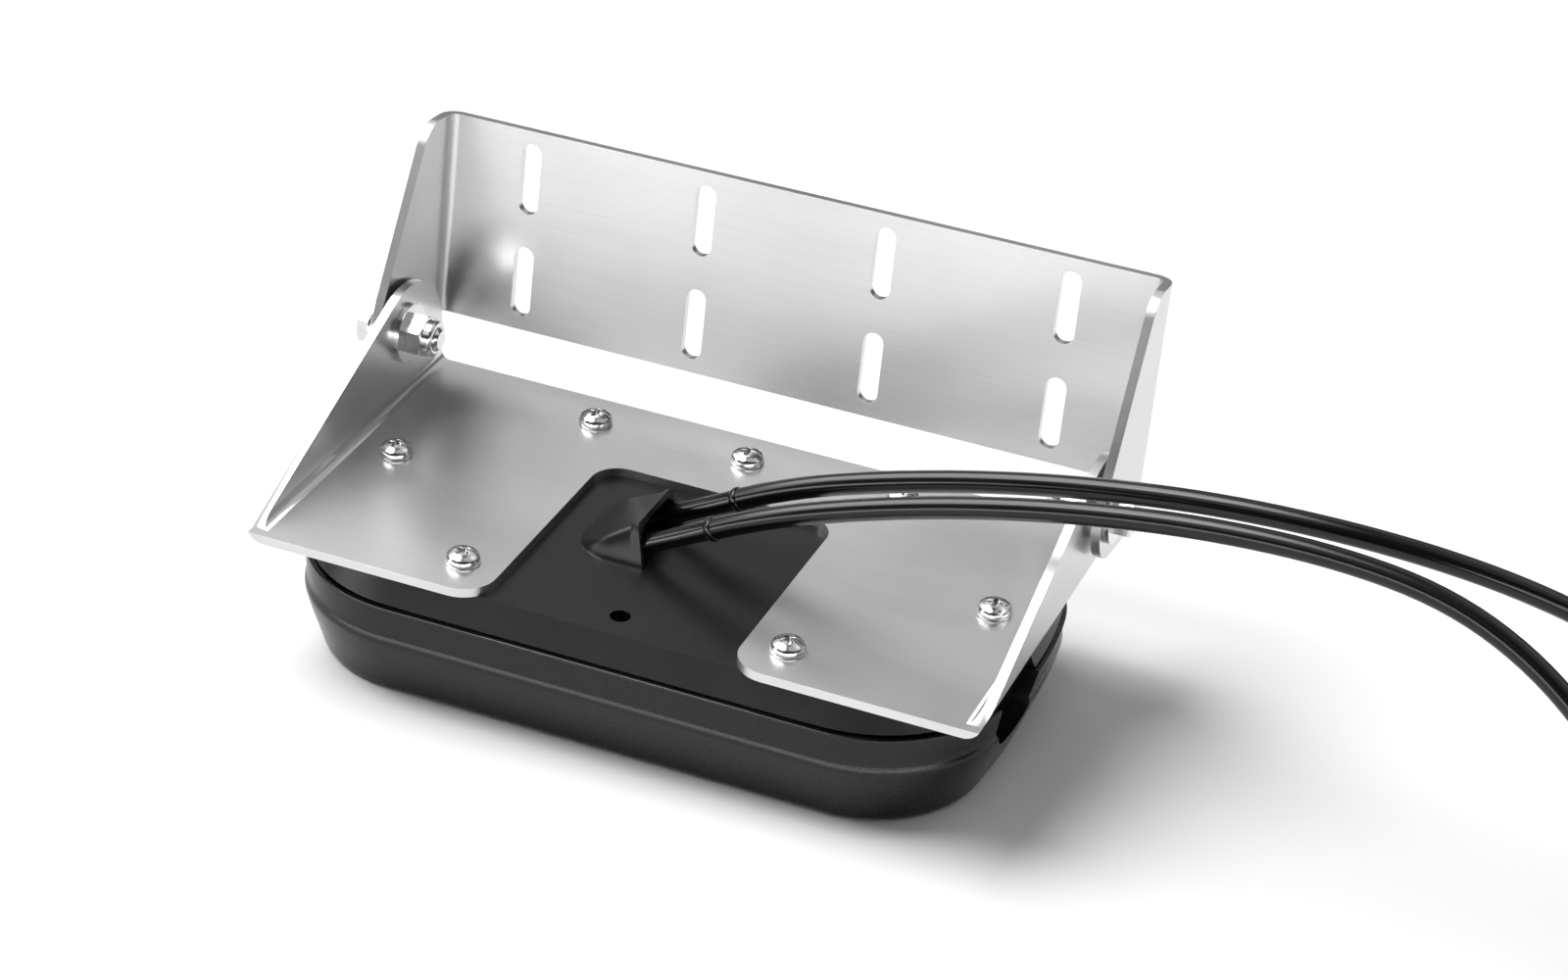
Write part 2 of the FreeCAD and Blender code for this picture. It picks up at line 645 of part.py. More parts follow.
def add_hood(body):
    """A wedge over the cables, open towards +X, with its mouth square to them."""
    brow_x = d.hood_mouth_x - d.hood_lean
    brow_z = cover_top_z + d.hood_rise
    wedge = new_sketch(body, "hood_side", "XZ_Plane", -d.hood_y)
    sink = d.cover_top_wall / 2
    outline(wedge, [
        (d.hood_tip_x, cover_top_z - sink), (d.hood_mouth_x, cover_top_z - sink),
        (d.hood_mouth_x, cover_top_z), (brow_x, brow_z), (d.hood_tip_x, cover_top_z),
    ])
    pad(body, "hood_block", wedge, d.hood_width, both=True)
    trim = new_sketch(body, "hood_plan", "XY_Plane", cover_top_z)
    low = d.hood_y - d.hood_width / 2
    high = d.hood_y + d.hood_width / 2
    far = d.hood_width
    outline(trim, [
        (d.hood_tip_x, low, d.hood_corner), (d.hood_mouth_x + CUT_MARGIN, low), (d.hood_mouth_x + CUT_MARGIN, high),
        (d.hood_tip_x, high, d.hood_corner),
    ])
    outline(trim, [
        (d.hood_tip_x - far, low - far), (d.hood_mouth_x + far, low - far),
        (d.hood_mouth_x + far, high + far), (d.hood_tip_x - far, high + far),
    ])
    pocket(body, "hood_trim", trim, d.hood_rise + CUT_MARGIN, reverse=True)
    slope = d.hood_rise / (brow_x - d.hood_tip_x)
    back_x = brow_x - d.hood_deep
    mouth = new_sketch(body, "hood_mouth", "XZ_Plane", -d.hood_y)
    outline(mouth, [
        (d.hood_mouth_x + CUT_MARGIN, cover_top_z), (d.hood_mouth_x + CUT_MARGIN, brow_z + CUT_MARGIN),
        (brow_x, brow_z - d.hood_roof),
        (back_x, brow_z - d.hood_roof - slope * d.hood_deep), (back_x + CUT_MARGIN * 2, cover_top_z),
    ])
    pocket(body, "hood_opening", mouth, d.hood_width - d.hood_wall * 2, both=True)
    for name, y in (("aft", aft_cable_y), ("fore", fore_cable_y)):
        bore = new_sketch(body, f"{name}_bore_half", "XZ_Plane", -y)
        axis = along_cable(bore, -d.boot_in - d.bore_further, Size.of(0), d.boot_across / 2)
        turn(body, f"{name}_bore", bore, (bore, [axis]), cut=True)


def cable_point(distance, aside=0):
    """A point on a cable's exit line, in the XZ plane, measured from the hood's mouth."""
    x = d.hood_mouth_x + distance * cosine(d.cable_rise) - aside * sine(d.cable_rise)
    z = cover_top_z + d.cable_mouth_z + distance * sine(d.cable_rise) + aside * cosine(d.cable_rise)
    return x, z


def along_cable(sketch, start, end, radius):
    """A half section along a cable's exit line, with its axis as a construction line."""
    start, end = Size.of(start), Size.of(end)
    outline(sketch, [cable_point(start), cable_point(end), cable_point(end, radius), cable_point(start, radius)])
    return axis_line(sketch, start, end)


def axis_line(sketch, start, end):
    first, last = cable_point(start), cable_point(end)
    made = sketch.addGeometry(
        Part.LineSegment(V(first[0].number, first[1].number, 0), V(last[0].number, last[1].number, 0)), True)
    pin_point(sketch, made, 1, *first)
    pin_point(sketch, made, 2, *last)
    return "Axis0"


def make_boot(name, y):
    """The slimmer moulded boot between the hood and the cable's jacket, with its end collar."""
    body = new_body(name)
    half = new_sketch(body, "half_section", "XZ_Plane", -y)
    neck = d.boot_out - d.boot_collar_long
    outline(half, [
        cable_point(-d.boot_in), cable_point(d.boot_out), cable_point(d.boot_out, d.boot_collar / 2),
        cable_point(neck, d.boot_collar / 2), cable_point(neck, d.boot_across / 2),
        cable_point(-d.boot_in, d.boot_across / 2),
    ])
    axis_line(half, -d.boot_in, d.boot_out)
    turn(body, "boot", half, (half, ["Axis0"]))
    return keep(body)


# Sheet-metal brackets

def bent_channel(body, name, role, half, web_low, ear_end, start, length, up):
    """A U of sheet: a web across and an ear up each side, drawn in section and padded."""
    sketch = new_sketch(body, f"{name}_section", role, start)
    outer = d.bend + d.sheet
    sign = 1 if up else -1
    outline(sketch, [
        (-half, ear_end), (-half, web_low, outer), (half, web_low, outer), (half, ear_end),
        (half - d.sheet, ear_end), (half - d.sheet, web_low + sign * d.sheet, d.bend),
        (-half + d.sheet, web_low + sign * d.sheet, d.bend), (-half + d.sheet, ear_end),
    ])
    pad(body, name, sketch, length)


TRIM_MARGIN = 20.0
SLOT_COLUMNS = 4
SLOT_ROWS = 2


def keep_only(body, name, corners, reach, low_y, high_y, low_z, high_z):
    """Cut away all that lies outside a side outline."""
    low_y, low_z = low_y - TRIM_MARGIN, low_z - TRIM_MARGIN
    high_y, high_z = high_y + TRIM_MARGIN, high_z + TRIM_MARGIN
    sketch = new_sketch(body, f"{name}_outline", "YZ_Plane")
    outline(sketch, corners)
    outline(sketch, [(low_y, low_z), (high_y, low_z), (high_y, high_z), (low_y, high_z)])
    pocket(body, name, sketch, reach, both=True)


def make_transducer_bracket():
    """The lower bracket: a notched plate screwed to the cover, with an ear up at each end."""
    body = new_body("transducer_bracket")
    ear_top = pivot_z + d.ear_round * 2
    bent_channel(body, "channel", "XZ_Plane", d.lower_half, cover_top_z, ear_top, -d.plate_half_y,
                 d.plate_half_y * 2, True)
    front = -d.plate_half_y
    foot = front + d.ear_foot
    peak_z = plate_top_z + (d.plate_half_y - foot) * tangent(d.ear_slope)
    keep_only(body, "ears", [
        (front, cover_top_z), (d.plate_half_y, cover_top_z), (d.plate_half_y, peak_z, d.ear_round),
        (foot, plate_top_z), (front, plate_top_z),
    ], d.lower_half * 2 + CUT_MARGIN * 2, front, d.plate_half_y, cover_top_z, ear_top)
    notch = new_sketch(body, "notch_outline", "XY_Plane", plate_top_z + CUT_MARGIN)
    back = front + d.notch_deep
    outline(notch, [
        (-d.notch_half, front - CUT_MARGIN), (d.notch_half, front - CUT_MARGIN), (d.notch_half, back, d.notch_corner),
        (-d.notch_half, back, d.notch_corner),
    ])
    cut = pocket(body, "notch", notch, d.sheet + CUT_MARGIN * 2)
    round_edges(body, "leg_corners", cut, d.leg_corner, lambda edge, mid: upright(edge) and near(
        abs(mid.x), d.notch_half.number) and near(mid.y, -d.plate_half_y.number))
    holes = new_sketch(body, "screw_hole_circles", "XY_Plane", plate_top_z + CUT_MARGIN)
    for x, y in SCREW_SPOTS:
        circle(holes, x, y, d.screw_hole)
    pocket(body, "screw_holes", holes, d.sheet + CUT_MARGIN * 2)
    pivots = new_sketch(body, "pivot_circle", "YZ_Plane")
    circle(pivots, d.pivot_y, pivot_z, d.bolt_across + d.bolt_play)
    pocket(body, "pivot_holes", pivots, d.lower_half * 2 + CUT_MARGIN * 2, both=True)
    return keep(body)


def make_transom_bracket():
    """The upper bracket: a slotted plate for the transom, with an ear forward at each end."""
    body = new_body("transom_bracket")
    half = d.lower_half + d.spacer_thick + d.ear_play * 2 + d.sheet
    face = d.transom_set
    back = face + d.sheet
    tall = d.transom_high + d.transom_low
    reach = -d.transom_set
    bent_channel(body, "channel", "XY_Plane", half, back, reach, -d.transom_ear_drop - CUT_MARGIN,
                 tall + d.transom_ear_drop + CUT_MARGIN * 2, False)
    lead_cos = cosine(d.transom_ear_slope)
    lead_sin = sine(d.transom_ear_slope)

    def lead_y(z):
        """The ears' front edge at a height."""
        return -(d.transom_ear_lead - z * lead_sin) / lead_cos

    high = d.transom_high
    drop = -d.transom_ear_drop
    keep_only(body, "ears", [
        (back, -d.transom_low), (back, high), (lead_y(high), high, d.transom_ear_top),
        (lead_y(drop), drop, d.transom_ear_lobe), (d.transom_heel, drop, d.transom_heel_round),
        (face - d.bend, -d.transom_low),
    ], half * 2 + CUT_MARGIN * 2, reach, back, drop, high)
    slot = new_sketch(body, "slot_outline", "XZ_Plane", -back - CUT_MARGIN)
    radius = d.slot_wide / 2
    x = d.slot_pitch_x * (1 - SLOT_COLUMNS) / 2
    low = d.slot_low - d.slot_long / 2 + radius
    top = d.slot_low + d.slot_long / 2 - radius
    slot_shape(slot, x, low, top, radius)
    first = pocket(body, "slot", slot, d.sheet + CUT_MARGIN * 2, reverse=True)
    doc.recompute()
    spread = body.newObject("PartDesign::MultiTransform", "slots")
    columns = doc.addObject("PartDesign::LinearPattern", "slot_columns")
    columns.Direction = (datum(body, "X_Axis"), [""])
    columns.Occurrences = SLOT_COLUMNS
    bind(columns, "Length", d.slot_pitch_x * (SLOT_COLUMNS - 1))
    rows = doc.addObject("PartDesign::LinearPattern", "slot_rows")
    rows.Direction = (datum(body, "Z_Axis"), [""])
    rows.Occurrences = SLOT_ROWS
    bind(rows, "Length", d.slot_pitch_z)
    spread.Originals = [first]
    spread.Transformations = [columns, rows]
    body.Tip = spread
    pivots = new_sketch(body, "pivot_circle", "YZ_Plane")
    circle(pivots, 0, 0, d.bolt_across + d.bolt_play)
    pocket(body, "pivot_holes", pivots, half * 2 + CUT_MARGIN * 2, both=True)
    body.Placement = FreeCAD.Placement(V(0, 0, 0), FreeCAD.Rotation(V(-1, 0, 0), d.transom_tilt.number))
    bind(body, ".Placement.Rotation.Angle", d.transom_tilt)
    place(body, y=d.pivot_y, z=pivot_z)
    return keep(body)


def slot_shape(sketch, x, low, top, radius):
    """A slot with round ends, standing up in the sketch."""
    cx, lo, hi, r = x.number, low.number, top.number, radius.number
    left = sketch.addGeometry(Part.LineSegment(V(cx - r, hi, 0), V(cx - r, lo, 0)))
    bottom = sketch.addGeometry(Part.ArcOfCircle(Part.Circle(V(cx, lo, 0), V(0, 0, 1), r), math.pi, 2 * math.pi))
    right = sketch.addGeometry(Part.LineSegment(V(cx + r, lo, 0), V(cx + r, hi, 0)))
    cap = sketch.addGeometry(Part.ArcOfCircle(Part.Circle(V(cx, hi, 0), V(0, 0, 1), r), 0, math.pi))
    add = sketch.addConstraint
    add(Sketcher.Constraint("Tangent", left, 2, bottom, 1))
    add(Sketcher.Constraint("Tangent", bottom, 2, right, 1))
    add(Sketcher.Constraint("Tangent", right, 2, cap, 1))
    add(Sketcher.Constraint("Tangent", cap, 2, left, 1))
    add(Sketcher.Constraint("Vertical", left))
    add(Sketcher.Constraint("Vertical", right))
    pin_point(sketch, bottom, 3, x, low)
    made = add(Sketcher.Constraint("DistanceY", -1, 1, cap, 3, hi))
    sketch.setExpression(f"Constraints[{made}]", top.text)
    set_radius(sketch, bottom, radius)


# Screws

def make_screw():
    """One pan-head screw, its seat at the origin, with a cross recess."""
    body = new_body("pan_screw")
    half = new_sketch(body, "half_section", "XZ_Plane")
    outline(half, [
        (0, -d.screw_long), (d.screw_shank / 2 - d.screw_tip_in, -d.screw_long),
        (d.screw_shank / 2, -d.screw_long + d.screw_tip_long),
        (d.screw_shank / 2, 0), (d.screw_head / 2, 0), (d.screw_head / 2, d.screw_head_tall, d.screw_crown),
        (0, d.screw_head_tall),
    ])
    turn(body, "screw", half, (datum(body, "Z_Axis"), [""]))
    arm = d.recess_wide / 2
    span = d.recess_span / 2
    cross = new_sketch(body, "cross", "XY_Plane", d.screw_head_tall)
    outline(cross, [
        (-arm, -span), (arm, -span), (arm, -arm), (span, -arm), (span, arm), (arm, arm),
        (arm, span), (-arm, span), (-arm, arm), (-span, arm), (-span, -arm), (-arm, -arm),
    ])
    pocket(body, "cross_recess", cross, d.recess_deep)
    return body


def make_insert():
    """One threaded insert, flush with the cover's top."""
    body = new_body("threaded_insert")
    ring = new_sketch(body, "ring", "XY_Plane")
    circle(ring, 0, 0, d.insert_across)
    circle(ring, 0, 0, d.insert_bore)
    pad(body, "insert", ring, d.insert_long, reverse=True)
    return body


# Pivot hardware

def make_ring(name, side, outer, bore, start, thick):
    """A washer on the pivot axis, from a distance outward."""
    body = new_body(name)
    sketch = new_sketch(body, "ring", "YZ_Plane")
    circle(sketch, 0, 0, outer)
    circle(sketch, 0, 0, bore)
    pad(body, "washer", sketch, thick, reverse=side < 0)
    place(body, x=side * start, y=d.pivot_y, z=pivot_z)
    return keep(body)


def hexagon(sketch, across):
    """A hexagon with two corners up and down."""
    corner = across / 2 / math.cos(math.pi / 6)
    flat = across / 2
    outline(sketch, [
        (0, -corner), (flat, -corner / 2), (flat, corner / 2), (0, corner), (-flat, corner / 2), (-flat, -corner / 2),
    ])


HEX_FACE = 0.47
HEX_FAR = 0.7
HEX_SLOPE = 0.5


def trim_hexagon(body, name, across, at, inward):
    """Turn off a hexagon's corners towards one of its faces."""
    sketch = new_sketch(body, f"{name}_half", "XZ_Plane")
    low = across * HEX_FACE
    far = across * HEX_FAR
    outline(sketch, [(at, low), (at, far), (at + inward * (far - low) * HEX_SLOPE, far)])
    turn(body, name, sketch, (datum(body, "X_Axis"), [""]), cut=True)


def make_bolt(name, side):
    """A hex bolt: head outside, shank through both ears to the nut."""
    body = new_body(name)
    seat = d.lower_half + d.spacer_thick + d.ear_play * 2 + d.sheet + d.washer_thick
    head = new_sketch(body, "hexagon", "YZ_Plane", side * seat)
    hexagon(head, d.bolt_head)
    pad(body, "head", head, d.bolt_head_tall, reverse=side < 0)
    trim_hexagon(body, "head_corners", d.bolt_head, side * (seat + d.bolt_head_tall), -side)
    shank = new_sketch(body, "shank_circle", "YZ_Plane", side * seat)
    circle(shank, 0, 0, d.bolt_across)
    stem = pad(body, "shank", shank, seat - d.bolt_end, reverse=side > 0)
    doc.recompute()
    chamfer = body.newObject("PartDesign::Chamfer", "shank_end")
    chamfer.Base = (stem, edges_where(stem.Shape, lambda edge, mid: near(abs(mid.x), d.bolt_end.number)))
    bind(chamfer, "Size", d.bolt_end_chamfer)
    place(body, y=d.pivot_y, z=pivot_z)
    return keep(body)


def make_nut(name, side):
    """A locking nut: hexagon against the inner washer and a round collar beyond it."""
    body = new_body(name)
    seat = d.lower_half - d.sheet - d.washer_thick
    flat = new_sketch(body, "hexagon", "YZ_Plane", side * seat)
    hexagon(flat, d.bolt_head)
    pad(body, "hex", flat, d.nut_hex_tall, reverse=side > 0)
    trim_hexagon(body, "hex_corners", d.bolt_head, side * (seat - d.nut_hex_tall), side)
    ring = new_sketch(body, "collar_circle", "YZ_Plane", side * seat)
    circle(ring, 0, 0, d.nut_collar * 2)
    collar = pad(body, "collar", ring, d.nut_tall, reverse=side > 0)
    round_edges(body, "collar_edge", collar, d.nut_collar_edge, lambda edge, mid: near(
        abs(mid.x), (seat - d.nut_tall).number))
    bore = new_sketch(body, "bore_circle", "YZ_Plane", side * seat)
    circle(bore, 0, 0, d.nut_bore)
    pocket(body, "bore", bore, d.nut_tall + CUT_MARGIN, reverse=side < 0)
    place(body, y=d.pivot_y, z=pivot_z)
    return keep(body)


def make_pivots():
    for side, word in ((-1, "left"), (1, "right")):
        gap = d.lower_half
        make_ring(f"{word}_spacer_washer", side, d.washer_across, d.washer_bore, gap, d.spacer_thick)
        outer = gap + d.spacer_thick + d.ear_play * 2 + d.sheet
        make_ring(f"{word}_head_washer", side, d.washer_across, d.washer_bore, outer, d.washer_thick)
        inner = gap - d.sheet - d.washer_thick
        make_ring(f"{word}_inner_washer", side, d.washer_across, d.washer_bore, inner, d.washer_thick)
        make_bolt(f"{word}_pivot_bolt", side)
        make_nut(f"{word}_lock_nut", side)


# Inside the housing

def make_carrier():
    """The moulded carrier that holds the three arrays over the acoustic window."""
    body = new_body("array_carrier")
    section = new_sketch(body, "section", "XZ_Plane", -d.carrier_half_y)
    base = d.hull_floor
    bar_top = base + d.array_thick + d.array_glue
    outer = d.carrier_half_x
    slope_start = d.foot_out_x
    slope_end = slope_start + (d.side_array_wide + d.array_glue * 2) * cosine(d.array_tilt)
    slope_low = bar_top + d.array_glue
    slope_high = slope_low + (slope_end - slope_start) * tangent(d.array_tilt)
    right = [
        (d.foot_in_x, bar_top), (d.foot_in_x, base), (d.foot_out_x, base), (slope_start, slope_low),
        (slope_end, slope_high), (outer, slope_high), (outer, d.carrier_top_z),
    ]
    outline(section, right + [(-x, z) for x, z in reversed(right)])
    pad(body, "carrier", section, d.carrier_half_y * 2)
    return keep(body), slope_start, slope_low


def make_array(name, side, slope_start, slope_low):
    """A ceramic array bar, seated under the carrier's slope."""
    body = new_body(name)
    section = new_sketch(body, "section", "XZ_Plane", -d.array_long / 2)
    c, s = cosine(d.array_tilt), sine(d.array_tilt)
    near_x = slope_start + (d.array_glue + d.array_thick * s)
    near_z = slope_low + (near_x - slope_start) * tangent(d.array_tilt)
    wide, thick = d.side_array_wide - d.array_glue * 2, d.array_thick
    corners = [
        (near_x, near_z), (near_x + wide * c, near_z + wide * s),
        (near_x + wide * c + thick * s, near_z + wide * s - thick * c), (near_x + thick * s, near_z - thick * c),
    ]
    outline(section, [(side * x, z) for x, z in corners])
    pad(body, "bar", section, d.array_long)
    return keep(body)


def make_inside():
    carrier, slope_start, slope_low = make_carrier()
    make_array("port_array", -1, slope_start, slope_low)
    make_array("starboard_array", 1, slope_start, slope_low)
    down = new_body("down_array")
    bar = new_sketch(down, "plan", "XY_Plane", d.hull_floor + d.array_glue)
    half_x, half_y = d.down_array_wide / 2, d.array_long / 2
    outline(bar, [(-half_x, -half_y), (half_x, -half_y), (half_x, half_y), (-half_x, half_y)])
    pad(down, "bar", bar, d.array_thick)
    keep(down)
    board = new_body("circuit_board")
    plan = new_sketch(board, "plan", "XY_Plane", d.carrier_top_z)
    half_x, half_y = d.board_half_x, d.board_half_y
    outline(plan, [(-half_x, -half_y), (half_x, -half_y), (half_x, half_y), (-half_x, half_y)])
    pad(board, "board", plan, d.board_thick)
    keep(board)
    sensor = new_body("temperature_sensor")
    button = new_sketch(sensor, "circle", "XY_Plane", d.hull_floor)
    circle(button, 0, d.sensor_y, d.sensor_across)
    pad(sensor, "button", button, d.sensor_tall)
    keep(sensor)


# Cables

ARC_SHARE = 0.45
AFT_ROUTE = [
    (31.0, -16.0, 68.2), (62.0, -15.6, 79.8), (95.0, -15.2, 89.6), (130.0, -14.8, 97.3), (168.0, -14.6, 102.6),
    (205.0, -14.8, 104.0), (238.0, -17.0, 101.2), (266.0, -24.0, 92.4), (290.0, -34.0, 77.8),
    (311.0, -44.6, 59.6), (331.0, -54.4, 41.6), (348.0, -61.0, 29.4), (356.0, -64.0, 24.6),
]
FORE_ROUTE = [
    (31.0, 4.0, 68.2), (61.0, 3.6, 79.0), (94.0, 3.0, 88.6), (128.0, 2.4, 96.0), (165.0, 2.1, 101.2),
    (203.0, 2.4, 102.6), (237.0, 5.0, 99.6), (265.0, 12.4, 90.8), (289.0, 23.0, 77.0),
    (310.0, 34.4, 61.0), (330.0, 45.4, 45.6), (346.0, 53.4, 35.4), (353.6, 57.6, 31.2),
]


def tube_path(points):
    """Straight runs joined by tangent arcs through a list of points."""
    edges = []
    radii = []
    here = points[0]
    for before, corner, after in zip(points, points[1:], points[2:]):
        back = (before - corner).normalize()
        ahead = (after - corner).normalize()
        turn_angle = math.pi - back.getAngle(ahead)
        run = min((before - corner).Length, (after - corner).Length)
        reach = ARC_SHARE * run
        radius = reach / math.tan(turn_angle / 2)
        radii.append(radius)
        start = corner + back * reach
        end = corner + ahead * reach
        sagitta = radius / math.cos(turn_angle / 2) - radius
        middle = corner + (back + ahead).normalize() * sagitta
        edges.append(Part.LineSegment(here, start).toShape())
        edges.append(Part.Arc(start, middle, end).toShape())
        here = end
    edges.append(Part.LineSegment(here, points[-1]).toShape())
    return Part.Wire(edges), radii


def make_cable(name, y, route):
    """The laid-out stretch of a cable, from its boot to its coil."""
    x, z = cable_point(d.boot_out)
    points = [V(x.number, y.number, z.number)] + [V(*point) for point in route]
    wire, radii = tube_path(points)
    first = (points[1] - points[0]).normalize()
    ring = Part.Wire(Part.makeCircle(d.cable_across.number / 2, points[0], first))
    solid = wire.makePipeShell([ring], True, False)
    area = math.pi * d.cable_across.number ** 2 / 4
    print(name, "length", round(wire.Length, 1), "smallest radius", round(min(radii), 1),
          "volume over section times length", round(solid.Volume / (area * wire.Length), 5))
    cable = doc.addObject("Part::Feature", name)
    cable.Label = name
    cable.Shape = solid
    return keep(cable)


def make_coil(name, z):
    """The outer shape of a coil: a flat ring with rounded edges."""
    body = new_body(name)
    half = new_sketch(body, "bundle", "XZ_Plane")
    inner = d.coil_mean - d.coil_wide / 2
    outer = d.coil_mean + d.coil_wide / 2
    outline(half, [
        (inner, 0, d.coil_round), (outer, 0, d.coil_round), (outer, d.coil_tall, d.coil_round),
        (inner, d.coil_tall, d.coil_round),
    ])
    turn(body, "ring", half, (datum(body, "Z_Axis"), [""]))
    place(body, x=d.coil_x, y=d.coil_y, z=z)
    return keep(body)


def turned_on_x(name, corners, start):
    """A piece turned about the plug's axis from a half section, with the plug's start at a point."""
    body = new_body(name)
    half = new_sketch(body, "half_section", "XY_Plane")
    outline(half, corners)
    turn(body, "turned", half, (datum(body, "X_Axis"), [""]))
    place(body, *start)
    return body


RIB_COUNT = 4
RIB_START = 0.6
RIB_SHARE = 0.45
RIB_GROWTH = 0.5


def make_plug(word, at):
    """A round plug: grip with strain relief, locking collar and a nose with contact pins."""
    relief = d.plug_relief_long
    grip_end = relief + d.plug_grip_long
    cable = d.cable_across / 2
    flat = d.plug_grip / 2
    step = relief / (RIB_COUNT + 1)
    corners = [(0, 0), (0, cable + d.rib_gap_wall)]
    for number in range(RIB_COUNT):
        start = step * (number + RIB_START)
        top = cable + d.rib_tall * (1 + number * RIB_GROWTH)
        end = start + step * RIB_SHARE
        corners += [(start, top - d.rib_gap_wall), (start, top), (end, top), (end, top - d.rib_gap_wall)]
    corners += [
        (relief, d.plug_relief_end / 2), (relief, flat - d.plug_shoulder), (relief + d.plug_shoulder, flat),
        (grip_end, flat), (grip_end, 0),
    ]
    keep(turned_on_x(f"{word}_plug_grip", corners, at))
    nose = d.plug_nose / 2
    nose_end = grip_end + d.plug_nose_long
    well = nose - d.plug_nose_wall
    well_start = nose_end - d.pin_long - d.pin_inside
    insert = turned_on_x(f"{word}_plug_nose", [
        (grip_end, 0), (grip_end, nose), (nose_end, nose), (nose_end, well), (well_start, well), (well_start, 0),
    ], at)
    pins = new_sketch(insert, "pin_circles", "YZ_Plane", well_start)
    for number in range(int(d.pin_count.number)):
        angle = Size.of(FULL_TURN * number) / d.pin_count
        circle(pins, d.pin_circle * cosine(angle), d.pin_circle * sine(angle), d.pin_across)
    pad(insert, "pins", pins, d.pin_long)
    keep(insert)
    collar_out = d.plug_collar / 2
    collar_in = nose + d.plug_collar_gap
    collar_start = grip_end + d.plug_collar_gap
    collar_end = collar_start + d.plug_collar_long
    bead = d.plug_collar_bead
    keep(turned_on_x(f"{word}_plug_collar", [
        (collar_start, collar_in), (collar_start, collar_out - bead), (collar_start + bead, collar_out),
        (collar_end - bead, collar_out), (collar_end, collar_out - bead), (collar_end, collar_in),
    ], at))


# Build

make_hull()
make_seal()
make_cover()
make_boot("aft_cable_boot", aft_cable_y)
make_boot("fore_cable_boot", fore_cable_y)
make_transducer_bracket()
make_transom_bracket()
keep(copies("bracket_screws", make_screw(), SCREW_SPOTS, plate_top_z))
keep(copies("screw_inserts", make_insert(), SCREW_SPOTS, cover_top_z))
make_pivots()
make_inside()
make_cable("aft_cable", aft_cable_y, AFT_ROUTE)
make_cable("fore_cable", fore_cable_y, FORE_ROUTE)
make_coil("aft_cable_coil", Size.of(0))
make_coil("fore_cable_coil", d.coil_tall)
make_plug("aft", (d.coil_x + d.aft_plug_along, d.coil_y - d.aft_plug_aside, d.plug_collar / 2))
make_plug("fore", (d.coil_x + d.fore_plug_along, d.coil_y + d.fore_plug_aside, d.coil_tall * 2 + d.plug_collar / 2))
doc.recompute()

faults = []
for item in doc.Objects:
    if "Invalid" in item.State or "Error" in item.State:
        faults.append(f"{item.Label} ({item.Name}): {item.State}")
for item in nodes:
    if item.Shape.isNull() or not item.Shape.isValid():
        faults.append(f"{item.Label}: shape is null or not valid")
if faults:
    raise RuntimeError("; ".join(faults))

os.makedirs("parts", exist_ok=True)
for item in nodes:
    item.Shape.exportStep(f"parts/{item.Label}.step")
    print(item.Label, len(item.Shape.Solids), "solids", round(item.Shape.Volume), "mm3")
print(len(nodes), "nodes")
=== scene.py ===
"""Looks of a transom-mount sonar transducer: studio, housing, brackets, hardware and cables."""
from __future__ import annotations

import logging
import math
from dataclasses import dataclass
from enum import Enum
from typing import Iterable, Sequence

import bmesh
import bpy
from mathutils import Matrix, Vector

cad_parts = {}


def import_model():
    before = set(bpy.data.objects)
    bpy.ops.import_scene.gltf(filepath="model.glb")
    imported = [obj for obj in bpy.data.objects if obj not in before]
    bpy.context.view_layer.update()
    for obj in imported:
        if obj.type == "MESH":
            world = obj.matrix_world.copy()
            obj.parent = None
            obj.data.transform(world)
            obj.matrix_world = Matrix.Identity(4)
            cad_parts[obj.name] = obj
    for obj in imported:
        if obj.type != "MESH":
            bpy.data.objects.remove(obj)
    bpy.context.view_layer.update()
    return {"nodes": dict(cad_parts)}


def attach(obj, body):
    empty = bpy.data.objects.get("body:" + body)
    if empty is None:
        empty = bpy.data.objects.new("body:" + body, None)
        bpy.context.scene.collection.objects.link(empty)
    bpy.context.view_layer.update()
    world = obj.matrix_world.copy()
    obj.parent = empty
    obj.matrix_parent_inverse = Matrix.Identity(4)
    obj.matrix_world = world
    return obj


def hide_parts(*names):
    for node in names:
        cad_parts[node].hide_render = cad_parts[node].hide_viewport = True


log = logging.getLogger("transducer")
Point = tuple[float, float, float]
MM = 0.001
SMOOTH_BELOW = 38.0
AREA_WEIGHT = 100


def metres(*values: float) -> Vector:
    """A point given in millimetres, in metres."""
    return Vector(values) * MM


# Shader building

